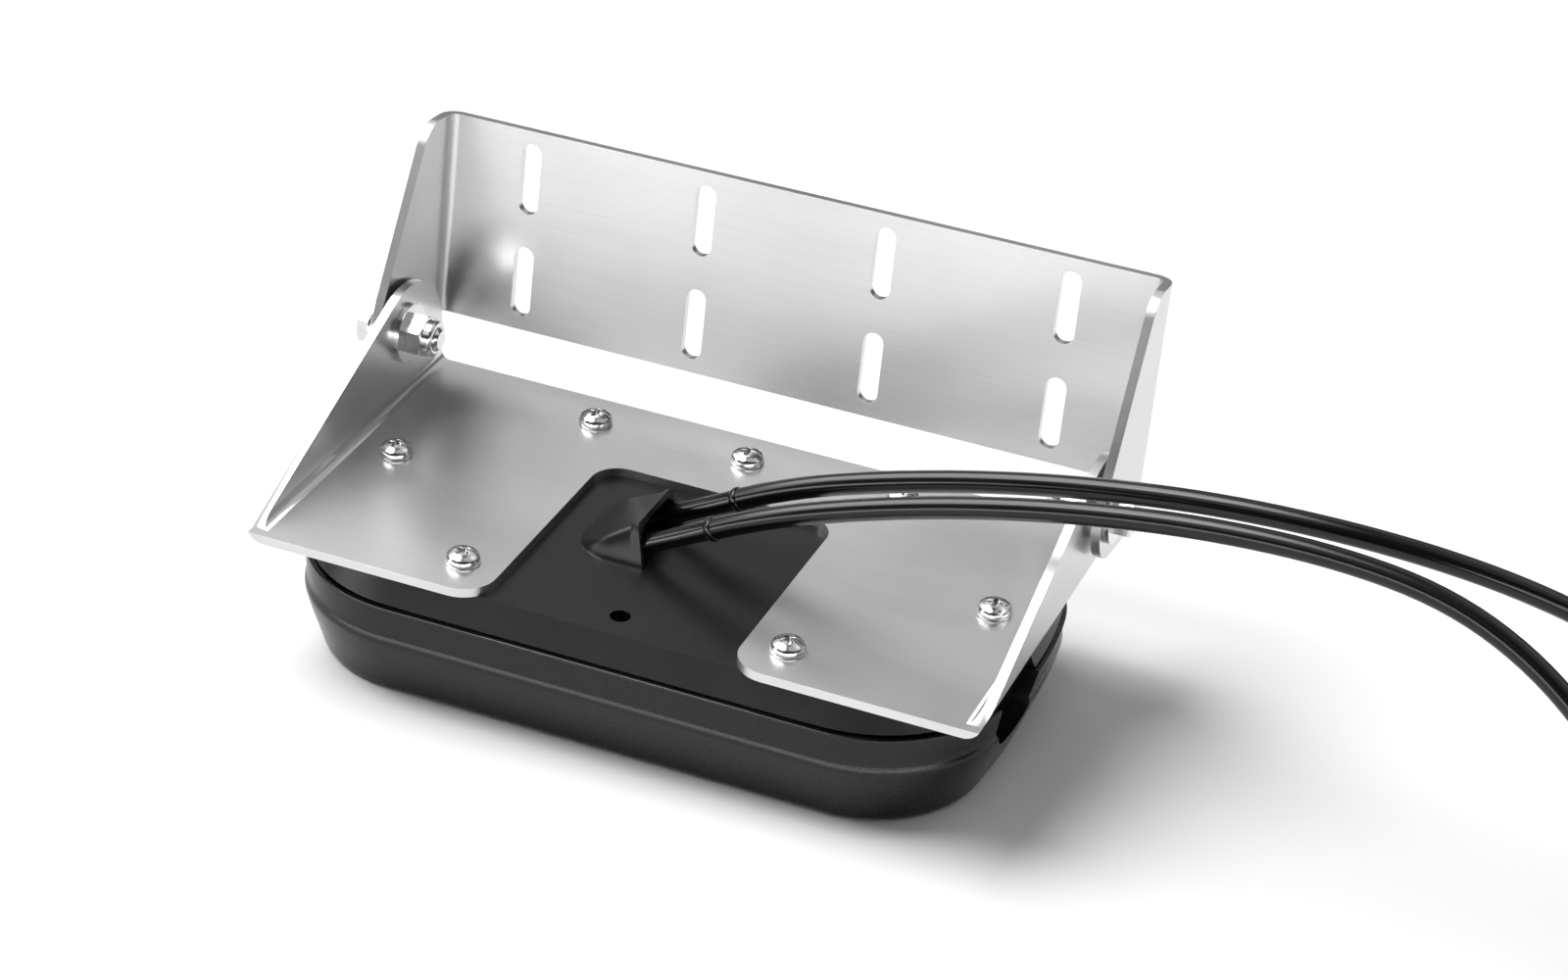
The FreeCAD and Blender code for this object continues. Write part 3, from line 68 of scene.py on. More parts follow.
class Sock:
    """An output socket, or a number, that can be used in Python arithmetic."""

    def __init__(self, tree: Tree, value: bpy.types.NodeSocket | float) -> None:
        """Keep the tree that new Math nodes go into, and the socket or number."""
        self.tree = tree
        self.value = value

    def _math(self, operation: str, other: Sock | float) -> Sock:
        """Add a Math node that takes this value first.

        Args:
            operation: Blender's name for the operation.
            other: the second operand.

        Returns:
            The node's result.
        """
        return self.tree.add("ShaderNodeMath", {"operation": operation}, {0: self, 1: other})

    def __add__(self, other: Sock | float) -> Sock:
        """The sum."""
        return self._math("ADD", other)

    __radd__ = __add__

    def __sub__(self, other: Sock | float) -> Sock:
        """The difference."""
        return self._math("SUBTRACT", other)

    def __rsub__(self, other: float) -> Sock:
        """The difference from a number."""
        return Sock(self.tree, other)._math("SUBTRACT", self)

    def __mul__(self, other: Sock | float) -> Sock:
        """The product."""
        return self._math("MULTIPLY", other)

    __rmul__ = __mul__

    def ramp(self, low: float, high: float) -> Sock:
        """A smooth step over this value.

        Args:
            low: where the step is still 0.
            high: where it has reached 1.

        Returns:
            The step, from 0 to 1.
        """
        settings = {"interpolation_type": "SMOOTHSTEP"}
        inputs = {"Value": self, "From Min": low, "From Max": high}
        return self.tree.add("ShaderNodeMapRange", settings, inputs)


class Tree:
    """The node tree of a material or a world, with one way to add a node."""

    MIX_FIRST = 6
    MIX_SECOND = 7
    MIX_COLOUR = 2

    def __init__(self, name: str, world: bool = False) -> None:
        """Start a material, or the scene's world, with its output alone.

        Args:
            name: its name.
            world: whether it is the world.
        """
        self.owner = bpy.data.worlds.new(name) if world else bpy.data.materials.new(name)
        self.owner.use_nodes = True
        self.nodes = self.owner.node_tree.nodes
        self.links = self.owner.node_tree.links
        self.nodes.clear()
        if world:
            bpy.context.scene.world = self.owner
        self.output = self.nodes.new("ShaderNodeOutputWorld" if world else "ShaderNodeOutputMaterial")

    def plug(self, socket: bpy.types.NodeSocket, value: object) -> None:
        """Link a socket to another, or set its own value.

        Args:
            socket: the input.
            value: an output, or a value of the input's kind.
        """
        if isinstance(value, Sock):
            value = value.value
        if isinstance(value, bpy.types.NodeSocket):
            self.links.new(value, socket)
        else:
            socket.default_value = value

    def add(self, kind: str, settings: dict | None = None, inputs: dict | None = None,
            out: str | int = 0) -> Sock:
        """Add one node.

        Args:
            kind: the node's type.
            settings: properties of the node.
            inputs: values or sockets by input name or number.
            out: which output is wanted.

        Returns:
            That output.
        """
        node = self.nodes.new(kind)
        for key, value in (settings or {}).items():
            setattr(node, key, value)
        for key, value in (inputs or {}).items():
            self.plug(node.inputs[key], value)
        return Sock(self, node.outputs[out])

    def place(self) -> Sock:
        """Object coordinates."""
        return self.add("ShaderNodeTexCoord", out="Object")

    def part(self, vector: Sock, axis: str) -> Sock:
        """One part of a vector."""
        return self.add("ShaderNodeSeparateXYZ", {}, {"Vector": vector}, axis)

    def stretched(self, scale: Point) -> Sock:
        """Object coordinates scaled along each axis."""
        return self.add("ShaderNodeMapping", inputs={"Vector": self.place(), "Scale": scale})

    def noise(self, scale: float, detail: float = 3.0, where: Sock | None = None, rough: float = 0.5) -> Sock:
        """Noise between 0 and 1."""
        inputs = {"Vector": where or self.place(), "Scale": scale, "Detail": detail, "Roughness": rough}
        return self.add("ShaderNodeTexNoise", {}, inputs)

    def tint(self, share: Sock, first: Sequence[float], second: Sequence[float]) -> Sock:
        """A colour between two colours."""
        inputs = {"Factor": share, self.MIX_FIRST: (*first, 1.0), self.MIX_SECOND: (*second, 1.0)}
        return self.add("ShaderNodeMix", {"data_type": "RGBA"}, inputs, self.MIX_COLOUR)

    def bump(self, height: Sock, distance: float) -> Sock:
        """A normal from a height in units of distance metres."""
        return self.add("ShaderNodeBump", {}, {"Height": height, "Distance": distance})

    def shade(self, **inputs: object) -> bpy.types.Material:
        """Finish with a Principled shader.

        Args:
            inputs: values or sockets by the shader's input names, in lower case with underscores.

        Returns:
            The material.
        """
        named = {key.replace("_", " ").title().replace("Ior", "IOR"): value for key, value in inputs.items()}
        shader = self.add("ShaderNodeBsdfPrincipled", {}, named)
        self.plug(self.output.inputs["Surface"], shader)
        return self.owner


def grey(value: float) -> tuple[float, float, float, float]:
    """An opaque grey."""
    return value, value, value, 1.0


def varied(middle: float, *parts: tuple[Sock, float]) -> Sock:
    """A value that strays from its middle by one or more noises.

    Args:
        middle: the value where every noise is at its mean.
        parts: noises between 0 and 1, each with the span it adds.

    Returns:
        The varied value.
    """
    total, first_span = parts[0]
    total = total * first_span
    for noise, span in parts[1:]:
        total = total + noise * span
    return total + (middle - sum(span for _, span in parts) / 2)


@dataclass(frozen=True)
class MouldedPlastic:
    """Black moulded housing plastic with a fine spark-eroded grain."""

    name: str
    dark: float = 0.005
    pale: float = 0.008
    rough: float = 0.3
    shine: float = 0.3
    grain_high: float = 0.000016
    grain_scale: float = 2300.0
    grain_span: float = 0.1
    cloud_scale: float = 34.0
    cloud_span: float = 0.08

    def make(self) -> bpy.types.Material:
        """Build the finish.

        Returns:
            Its material.
        """
        tree = Tree(self.name)
        cloud = tree.noise(self.cloud_scale)
        grain = tree.noise(self.grain_scale, rough=0.6)
        base = tree.tint(cloud, (self.dark,) * 3, (self.pale,) * 3)
        rough = varied(self.rough, (cloud, self.cloud_span), (grain, self.grain_span))
        normal = tree.bump(grain, self.grain_high)
        return tree.shade(base_color=base, roughness=rough, normal=normal, specular_ior_level=self.shine)


@dataclass(frozen=True)
class SatinSheet:
    """Stainless sheet with a faint grain along the bracket and soft random clouding in its tone."""

    name: str
    dark: float = 0.60
    pale: float = 0.72
    rough: float = 0.31
    streak_high: float = 0.0000003
    streak_scale: Point = (22.0, 1500.0, 1500.0)
    streak_share: float = 0.25
    streak_span: float = 0.06
    cloud_scale: float = 14.0
    cloud_stretch: Point = (0.7, 1.0, 1.0)
    cloud_span: float = 0.14
    contrast: tuple[float, float] = (0.3, 0.7)

    def make(self) -> bpy.types.Material:
        """Build the finish.

        Returns:
            Its material.
        """
        tree = Tree(self.name)
        streaks = tree.noise(1.0, 4.0, tree.stretched(self.streak_scale), 0.6)
        cloud = tree.noise(self.cloud_scale, where=tree.stretched(self.cloud_stretch))
        blend = streaks * self.streak_share + cloud * (1.0 - self.streak_share)
        base = tree.tint(blend.ramp(*self.contrast), (self.dark,) * 3, (self.pale,) * 3)
        rough = varied(self.rough, (streaks, self.streak_span), (cloud, self.cloud_span))
        normal = tree.bump(streaks, self.streak_high)
        return tree.shade(base_color=base, metallic=1.0, roughness=rough, normal=normal)


@dataclass(frozen=True)
class TurnedSteel:
    """Bright stainless fasteners."""

    name: str
    dark: float = 0.58
    pale: float = 0.76
    rough: float = 0.17
    cloud_high: float = 0.000003
    cloud_scale: float = 380.0
    cloud_span: float = 0.14

    def make(self) -> bpy.types.Material:
        """Build the finish.

        Returns:
            Its material.
        """
        tree = Tree(self.name)
        cloud = tree.noise(self.cloud_scale)
        base = tree.tint(cloud, (self.dark,) * 3, (self.pale,) * 3)
        rough = varied(self.rough, (cloud, self.cloud_span))
        normal = tree.bump(cloud, self.cloud_high)
        return tree.shade(base_color=base, metallic=1.0, roughness=rough, normal=normal)


@dataclass(frozen=True)
class Jacket:
    """Extruded or moulded black cable plastic."""

    name: str
    tone: float = 0.0032
    rough: float = 0.2
    shine: float = 0.4
    fine_high: float = 0.000005
    fine_scale: float = 1500.0
    broad_scale: float = 60.0
    broad_span: float = 0.1
    darker: float = 0.8
    paler: float = 1.3

    def make(self) -> bpy.types.Material:
        """Build the finish.

        Returns:
            Its material.
        """
        tree = Tree(self.name)
        fine = tree.noise(self.fine_scale, 2.0)
        broad = tree.noise(self.broad_scale, 2.0)
        base = tree.tint(broad, (self.tone * self.darker,) * 3, (self.tone * self.paler,) * 3)
        rough = varied(self.rough, (broad, self.broad_span))
        normal = tree.bump(fine, self.fine_high)
        return tree.shade(base_color=base, roughness=rough, normal=normal, specular_ior_level=self.shine)


@dataclass(frozen=True)
class Plain:
    """A finish for what the housing hides: colour and gloss with a little cloudiness."""

    name: str
    colour: tuple[float, float, float]
    rough: float
    metallic: float = 0.0
    cloud_high: float = 0.00001
    cloud_scale: float = 160.0
    cloud_span: float = 0.1
    darker: float = 0.75

    def make(self) -> bpy.types.Material:
        """Build the finish.

        Returns:
            Its material.
        """
        tree = Tree(self.name)
        cloud = tree.noise(self.cloud_scale)
        base = tree.tint(cloud, [part * self.darker for part in self.colour], self.colour)
        rough = varied(self.rough, (cloud, self.cloud_span))
        normal = tree.bump(cloud, self.cloud_high)
        return tree.shade(base_color=base, metallic=self.metallic, roughness=rough, normal=normal)


# Studio

@dataclass(frozen=True)
class Lamp:
    """A soft lamp far away, given by the way its light comes from."""

    name: str
    source: Point
    spread: float
    strength: float
    away: float = 2.0

    def build(self) -> None:
        """Put the lamp in the scene, shining at the origin."""
        data = bpy.data.lights.new(self.name, "SUN")
        data.angle = math.radians(self.spread)
        data.energy = self.strength
        lamp = place_object(self.name, data)
        way = Vector(self.source).normalized()
        lamp.matrix_world = Matrix.LocRotScale(way * self.away, way.to_track_quat("Z", "Y"), None)


LAMPS = [
    Lamp("key", source=(-0.55, 0.03, 0.84), spread=46.0, strength=3.7),
    Lamp("right", source=(0.55, 0.2, 0.95), spread=60.0, strength=0.4),
]


@dataclass(frozen=True)
class Glow:
    """A soft bright patch of the studio, seen in reflections only, with its angles in degrees."""

    toward: Point
    inner: float
    outer: float
    strength: float

    def share(self, way: Sequence[Sock]) -> Sock:
        """The patch's light along a way.

        Args:
            way: the three parts of the unit vector looked along.

        Returns:
            Its strength, falling from the inner to the outer angle.
        """
        aim = Vector(self.toward).normalized()
        near = way[0] * aim.x + way[1] * aim.y + way[2] * aim.z
        edges = [math.cos(math.radians(angle)) for angle in (self.outer, self.inner)]
        return near.ramp(*edges) * self.strength


@dataclass(frozen=True)
class Panel:
    """A wide light across one side of the studio, seen in reflections only, with heights as sines."""

    side: float
    low: tuple[float, float]
    high: tuple[float, float]
    strength: float
    flank: tuple[float, float] = (0.1, 0.5)

    def share(self, way: Sequence[Sock]) -> Sock:
        """The panel's light along a way.

        Args:
            way: the three parts of the unit vector looked along.

        Returns:
            Its strength, fading over each pair of heights and toward the flanks.
        """
        below = way[2].ramp(*self.low)
        above = 1.0 - way[2].ramp(*self.high)
        return (way[1] * self.side).ramp(*self.flank) * below * above * self.strength


REFLECTED = [
    Panel(side=1.0, low=(0.27, 0.41), high=(0.80, 0.93), strength=0.68),
    Panel(side=-1.0, low=(-0.01, 0.05), high=(0.13, 0.24), strength=6.5),
    Glow(toward=(-0.2975, -0.20, 0.93), inner=7.0, outer=15.0, strength=4.5),
    Glow(toward=(-0.82, -0.31, 0.48), inner=5.0, outer=12.0, strength=4.0),
    Glow(toward=(-0.30, -0.61, 0.73), inner=3.0, outer=14.0, strength=1.1),
]


@dataclass
class Studio:
    """Camera, floor, lamps and world."""

    camera_at: Point = (370.4, -921.9, 648.6)
    right: Point = (0.924, 0.3778, 0.0601)
    down: Point = (0.2404, -0.4513, -0.8594)
    ahead: Point = (-0.2975, 0.8085, -0.5078)
    focal_px: float = 3802.5
    photo_width: float = 1600.0
    sensor: float = 36.0
    sight: float = 50.0
    floor_half: float = 3.0
    floor_back: float = 0.75
    floor_tone: float = 0.9
    floor_rough: float = 0.9
    ambient: float = 0.18
    dim: float = 0.06

    def build(self) -> None:
        """Put the camera, floor, lamps and world in the scene."""
        self.make_camera()
        self.make_floor()
        self.make_world()
        for lamp in LAMPS:
            lamp.build()

    def make_camera(self) -> None:
        """The camera at the photograph's station."""
        data = bpy.data.cameras.new("view")
        data.sensor_width = self.sensor
        data.lens = self.focal_px * self.sensor / self.photo_width
        data.clip_end = self.sight
        camera = place_object("view", data)
        turn = Matrix((self.right, [-v for v in self.down], [-v for v in self.ahead])).transposed()
        quaternion = turn.to_quaternion()
        quaternion.normalize()
        camera.matrix_world = Matrix.LocRotScale(metres(*self.camera_at), quaternion, None)
        bpy.context.scene.camera = camera

    def make_floor(self) -> None:
        """A wide pale floor that shows white to the camera and keeps the shadow."""
        mesh = bpy.data.meshes.new("floor")
        half = self.floor_half
        back = self.floor_back
        corners = [(-half, -half, 0.0), (half, -half, 0.0), (half, back, 0.0), (-half, back, 0.0)]
        mesh.from_pydata(corners, [], [(0, 1, 2, 3)])
        floor = place_object("floor", mesh)
        white = Tree("floor_white").shade(base_color=grey(self.floor_tone), roughness=self.floor_rough)
        mesh.materials.append(white)

    def make_world(self) -> None:
        """A surround that is white to the camera, dim as light, and patchy in reflections."""
        tree = Tree("studio", world=True)
        way = [tree.part(tree.add("ShaderNodeTexCoord", out="Generated"), axis) for axis in "XYZ"]
        mirrored = Sock(tree, self.dim)
        for light in REFLECTED:
            mirrored = light.share(way) + mirrored
        is_glossy = tree.add("ShaderNodeLightPath", out="Is Glossy Ray")
        is_camera = tree.add("ShaderNodeLightPath", out="Is Camera Ray")
        strength = is_glossy * (mirrored - self.ambient) + self.ambient
        strength = is_camera * (1.0 - strength) + strength
        back = tree.add("ShaderNodeBackground", {}, {"Color": grey(1.0), "Strength": strength})
        tree.plug(tree.output.inputs["Surface"], back)


# Meshes

class Body(Enum):
    """The part's two bodies."""

    HOUSING = "transducer"
    MOUNT = "transom_mount"


def place_object(name: str, data: bpy.types.ID) -> bpy.types.Object:
    """Put a mesh, curve, lamp or camera in the scene.

    Args:
        name: the object's name.
        data: what it holds.

    Returns:
        The object, at the origin.
    """
    made = bpy.data.objects.new(name, data)
    bpy.context.collection.objects.link(made)
    return made


def bake(item: bpy.types.Object) -> None:
    """Turn an object's modifiers into a plain mesh.

    Args:
        item: the object, which keeps its name and place.
    """
    graph = bpy.context.evaluated_depsgraph_get()
    mesh = bpy.data.meshes.new_from_object(item.evaluated_get(graph))
    item.modifiers.clear()
    item.data = mesh


def smooth(mesh: bpy.types.Mesh, limit: float = SMOOTH_BELOW) -> None:
    """Shade a mesh smooth except over its sharper edges.

    Args:
        mesh: the mesh.
        limit: the angle in degrees from which an edge stays sharp.
    """
    work = bmesh.new()
    work.from_mesh(mesh)
    for face in work.faces:
        face.smooth = True
    for edge in work.edges:
        edge.smooth = len(edge.link_faces) == 2 and edge.calc_face_angle(0.0) < math.radians(limit)
    work.to_mesh(mesh)
    work.free()


def weigh(item: bpy.types.Object) -> None:
    """Let large faces keep their own shading beside small roundings.

    Args:
        item: the object.
    """
    modifier = item.modifiers.new("weighted", "WEIGHTED_NORMAL")
    modifier.mode = "FACE_AREA"
    modifier.weight = AREA_WEIGHT
    modifier.keep_sharp = True
    bake(item)


def round_edges(item: bpy.types.Object, width: float, segments: int, above: float | None = None) -> None:
    """Round an object's edges.

    Args:
        item: the object.
        width: the rounding's width in millimetres.
        segments: the faces across it.
        above: the least angle of the edges in degrees, or None for the edges that have a bevel weight.
    """
    bevel = item.modifiers.new("rounding", "BEVEL")
    bevel.width = width * MM
    bevel.segments = segments
    if above is None:
        bevel.limit_method = "WEIGHT"
        bevel.miter_outer = "MITER_ARC"
    else:
        bevel.limit_method = "ANGLE"
        bevel.angle_limit = math.radians(above)
    bake(item)


def combine(item: bpy.types.Object, operation: str, *others: bpy.types.Object) -> None:
    """Cut or join an object with others.

    Args:
        item: the object that is changed.
        operation: Blender's name for the operation.
        others: the objects it is cut by or joined with, which are used up.
    """
    for other in others:
        step = item.modifiers.new("combine", "BOOLEAN")
        step.operation = operation
        step.solver = "EXACT"
        step.object = other
    bake(item)
    for other in others:
        bpy.data.objects.remove(other)


def finished(work: bmesh.types.BMesh, name: str, outward: bool = False) -> bpy.types.Object:
    """Put working geometry in the scene.

    Args:
        work: the geometry in metres, which is used up.
        name: the object's name.
        outward: whether its faces are first turned outward.

    Returns:
        The object, at the origin.
    """
    if outward:
        bmesh.ops.recalc_face_normals(work, faces=work.faces)
    mesh = bpy.data.meshes.new(name)
    work.to_mesh(mesh)
    work.free()
    return place_object(name, mesh)


def lofted(rings: list[list[Vector]], name: str) -> bpy.types.Object:
    """Make a closed form through rings, capped at both ends, with its faces outward.

    Args:
        rings: the rings' points in millimetres, the same number in each.
        name: the object's name.

    Returns:
        The form.
    """
    work = bmesh.new()
    rows = [[work.verts.new(point * MM) for point in ring] for ring in rings]
    for low, high in zip(rows, rows[1:]):
        count = len(low)
        for index in range(count):
            after = (index + 1) % count
            work.faces.new((low[index], low[after], high[after], high[index]))
    work.faces.new(rows[0])
    work.faces.new(rows[-1])
    return finished(work, name, outward=True)


def declare(item: bpy.types.Object, finish: bpy.types.Material, body: Body, *nodes: str) -> None:
    """Give a finished object its material, its body and the CAD nodes it stands for.

    Args:
        item: the object.
        finish: its material, whose name up to a dot is its slot.
        body: the body it rides on.
        nodes: the CAD nodes' names.
    """
    item.data.materials.clear()
    item.data.materials.append(finish)
    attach(item, body.value)
    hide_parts(*nodes)
    log.info("%s: in place of %s, in %s", item.name, ", ".join(nodes), finish.name)


@dataclass(frozen=True)
class Softening:
    """How a CAD node's edges are rounded."""

    width: float
    segments: int = 2
    above: float = 30.0
    join_within: float = 0.004
    flat_below: float = 0.6

    def apply(self, node: bpy.types.Object) -> bpy.types.Object:
        """Copy a CAD node with its convex edges rounded.

        Args:
            node: the CAD node, whose own mesh is left alone.

        Returns:
            The rounded copy.
        """
        work = bmesh.new()
        work.from_mesh(node.data)
        bmesh.ops.remove_doubles(work, verts=work.verts, dist=self.join_within * MM)
        angle = math.radians(self.flat_below)
        bmesh.ops.dissolve_limit(work, angle_limit=angle, verts=work.verts, edges=work.edges)
        layer = work.edges.layers.float.new("bevel_weight_edge")
        for edge in work.edges:
            if len(edge.link_faces) == 2 and edge.is_convex:
                edge[layer] = float(edge.calc_face_angle(0.0) >= math.radians(self.above))
        made = finished(work, f"{node.name}_soft")
        round_edges(made, self.width, self.segments)
        smooth(made.data)
        weigh(made)
        return made


# Housing

@dataclass(frozen=True)
class Level:
    """One level of the housing's plan: height, half sizes, corner radius and the ends' bow."""

    z: float
    half_x: float
    half_y: float
    corner: float
    bow: float

    def toward(self, other: Level, share: float, z: float) -> Level:
        """A level between two, at a height of its own."""
        ends = zip(self.plan(), other.plan())
        return Level(z, *[first + (second - first) * share for first, second in ends])

    def plan(self) -> tuple[float, float, float, float]:
        """The plan's sizes."""
        return self.half_x, self.half_y, self.corner, self.bow

    def moved(self, out: float, z: float) -> Level:
        """This plan grown by a distance, at a height."""
        return Level(z, self.half_x + out, self.half_y + out, self.corner + out, self.bow + out)

    def ring(self, corner_steps: int = 20, bow_steps: int = 14, side_steps: int = 24) -> list[Vector]:
        """Points round the plan, the same number at every level.

        Args:
            corner_steps: parts of a corner.
            bow_steps: parts of an end's bow.
            side_steps: parts of a side.

        Returns:
            The points in millimetres.
        """
        middle = self.half_x - self.bow
        lift = self.half_y - self.corner
        corner_x = middle + math.sqrt((self.bow - self.corner) ** 2 - lift ** 2)
        joint = math.atan2(lift, corner_x - middle)
        quarter = []
        for step in range(side_steps // 2):
            quarter.append((corner_x * step / (side_steps / 2), self.half_y))
        for step in range(corner_steps):
            angle = math.pi / 2 + (joint - math.pi / 2) * step / corner_steps
            quarter.append((corner_x + self.corner * math.cos(angle), lift + self.corner * math.sin(angle)))
        for step in range(bow_steps // 2 + 1):
            angle = joint * (1 - step / (bow_steps / 2))
            quarter.append((middle + self.bow * math.cos(angle), self.bow * math.sin(angle)))
        right_back = [Vector((x, y, self.z)) for x, y in quarter]
        right_front = [Vector((x, -y, self.z)) for x, y in quarter[-2::-1]]
        left_front = [Vector((-x, -y, self.z)) for x, y in quarter[1:]]
        left_back = [Vector((-x, y, self.z)) for x, y in quarter[-2:0:-1]]
        return right_back + right_front + left_front + left_back


@dataclass(frozen=True)
class HullForm:
    """The lower shell: rounded sole, leaning wall, a slight shoulder under the crease, and the rim."""

    sole: Level = Level(0.0, 110.6, 60.3, 36.0, 300.0)
    crease: Level = Level(23.5, 117.1, 66.3, 43.33, 203.33)
    rim: Level = Level(33.0, 119.4, 66.1, 47.0, 155.0)
    mouth: Level = Level(33.0, 102.4, 60.1, 41.0, 150.0)
    inner_floor: Level = Level(4.0, 97.6, 55.3, 31.0, 150.0)
    sole_edge: float = 2.8
    rim_edge: float = 0.6
    shoulder: float = 1.3
    shoulder_high: float = 3.0
    shoulder_zone: float = 4.5
    sole_steps: int = 6
    wall_steps: int = 12
    shoulder_steps: int = 16
    band_steps: int = 5
    rim_steps: int = 4
    pocket_x: float = 108.4
    pocket_y: float = -17.6
    pocket_width: float = 25.2
    pocket_floor: float = 15.5
    pocket_corner: float = 11.0
    pocket_steps: int = 28
    cut_over: float = 2.0
    cut_past: float = 20.0
    smooth_below: float = 36.0

    def wall(self, z: float) -> Level:
        """The outside plan at a height, swollen by the shoulder.

        Args:
            z: the height.

        Returns:
            The plan.
        """
        if z < self.crease.z:
            level = self.sole.toward(self.crease, z / self.crease.z, z)
        else:
            share = (z - self.crease.z) / (self.rim.z - self.crease.z)
            level = self.crease.toward(self.rim, share, z)
        under = max(0.0, self.crease.z - z)
        if under < self.shoulder_high:
            share = math.sin(math.pi / 2 * under / self.shoulder_high)
        else:
            fall = (under - self.shoulder_high) / (self.crease.z - self.shoulder_high)
            share = math.cos(math.pi / 2 * fall) ** 2
        return level.moved(self.shoulder * share, z)

    def levels(self) -> list[Level]:
        """The shell's levels in the order they are lofted.

        Returns:
            Outside levels from the sole up, then inside levels down to the floor.
        """
        outside = []
        for step in range(self.sole_steps + 1):
            angle = math.pi / 2 * step / self.sole_steps
            height = self.sole_edge * (1 - math.cos(angle))
            inset = self.sole_edge * (1 - math.sin(angle))
            outside.append(self.wall(height).moved(-inset, height))
        top = self.rim.z - self.rim_edge
        zone = self.crease.z - self.shoulder_zone
        spans = [
            (self.sole_edge, zone, self.wall_steps),
            (zone, self.crease.z, self.shoulder_steps),
            (self.crease.z, top, self.band_steps),
        ]
        for start, end, steps in spans:
            for step in range(1, steps + 1):
                outside.append(self.wall(start + (end - start) * step / steps))
        for step in range(1, self.rim_steps + 1):
            angle = math.pi / 2 * step / self.rim_steps
            height = top + self.rim_edge * math.sin(angle)
            outside.append(self.wall(height).moved(-self.rim_edge * (1 - math.cos(angle)), height))
        on_rim = self.rim.toward(self.mouth, 0.5, self.rim.z)
        halfway = self.mouth.toward(self.inner_floor, 0.5, (self.mouth.z + self.inner_floor.z) / 2)
        return outside + [on_rim, self.mouth, halfway, self.inner_floor]

    def build(self, finish: bpy.types.Material) -> None:
        """Args:
            finish: the hull's plastic.
        """
        hull = lofted([level.ring() for level in self.levels()], "hull_form")
        combine(hull, "DIFFERENCE", self.cutter(1), self.cutter(-1))
        smooth(hull.data, self.smooth_below)
        declare(hull, finish, Body.HOUSING, "hull")

    def cutter(self, side: int) -> bpy.types.Object:
        """Make a block in an end pocket's shape.

        Args:
            side: 1 for the right end, -1 for the left one.

        Returns:
            The block.
        """
        half = self.pocket_width / 2 - self.pocket_corner
        low = self.pocket_floor + self.pocket_corner
        top = self.rim.z + self.cut_over
        points = [(self.pocket_y + self.pocket_width / 2, top)]
        for step in range(self.pocket_steps + 1):
            angle = -math.pi * step / self.pocket_steps
            shift = half if step <= self.pocket_steps / 2 else -half
            y = self.pocket_y + shift + self.pocket_corner * math.cos(angle)
            points.append((y, low + self.pocket_corner * math.sin(angle)))
        points.append((self.pocket_y - self.pocket_width / 2, top))
        near = side * self.pocket_x
        far = side * (self.pocket_x + self.cut_past)
        rings = [[Vector((x, y, z)) for y, z in points] for x in sorted((near, far))]
        return lofted(rings, "pocket_cutter")


def soft_least(first: float, second: float, reach: float) -> float:
    """The lesser of two heights, rounded where they are within reach of each other."""
    near = max(reach - abs(first - second), 0.0) / reach
    return min(first, second) - near * near * reach / 4


def soft_most(first: float, second: float, reach: float) -> float:
    """The greater of two heights, rounded where they are within reach of each other."""
    return -soft_least(-first, -second, reach)


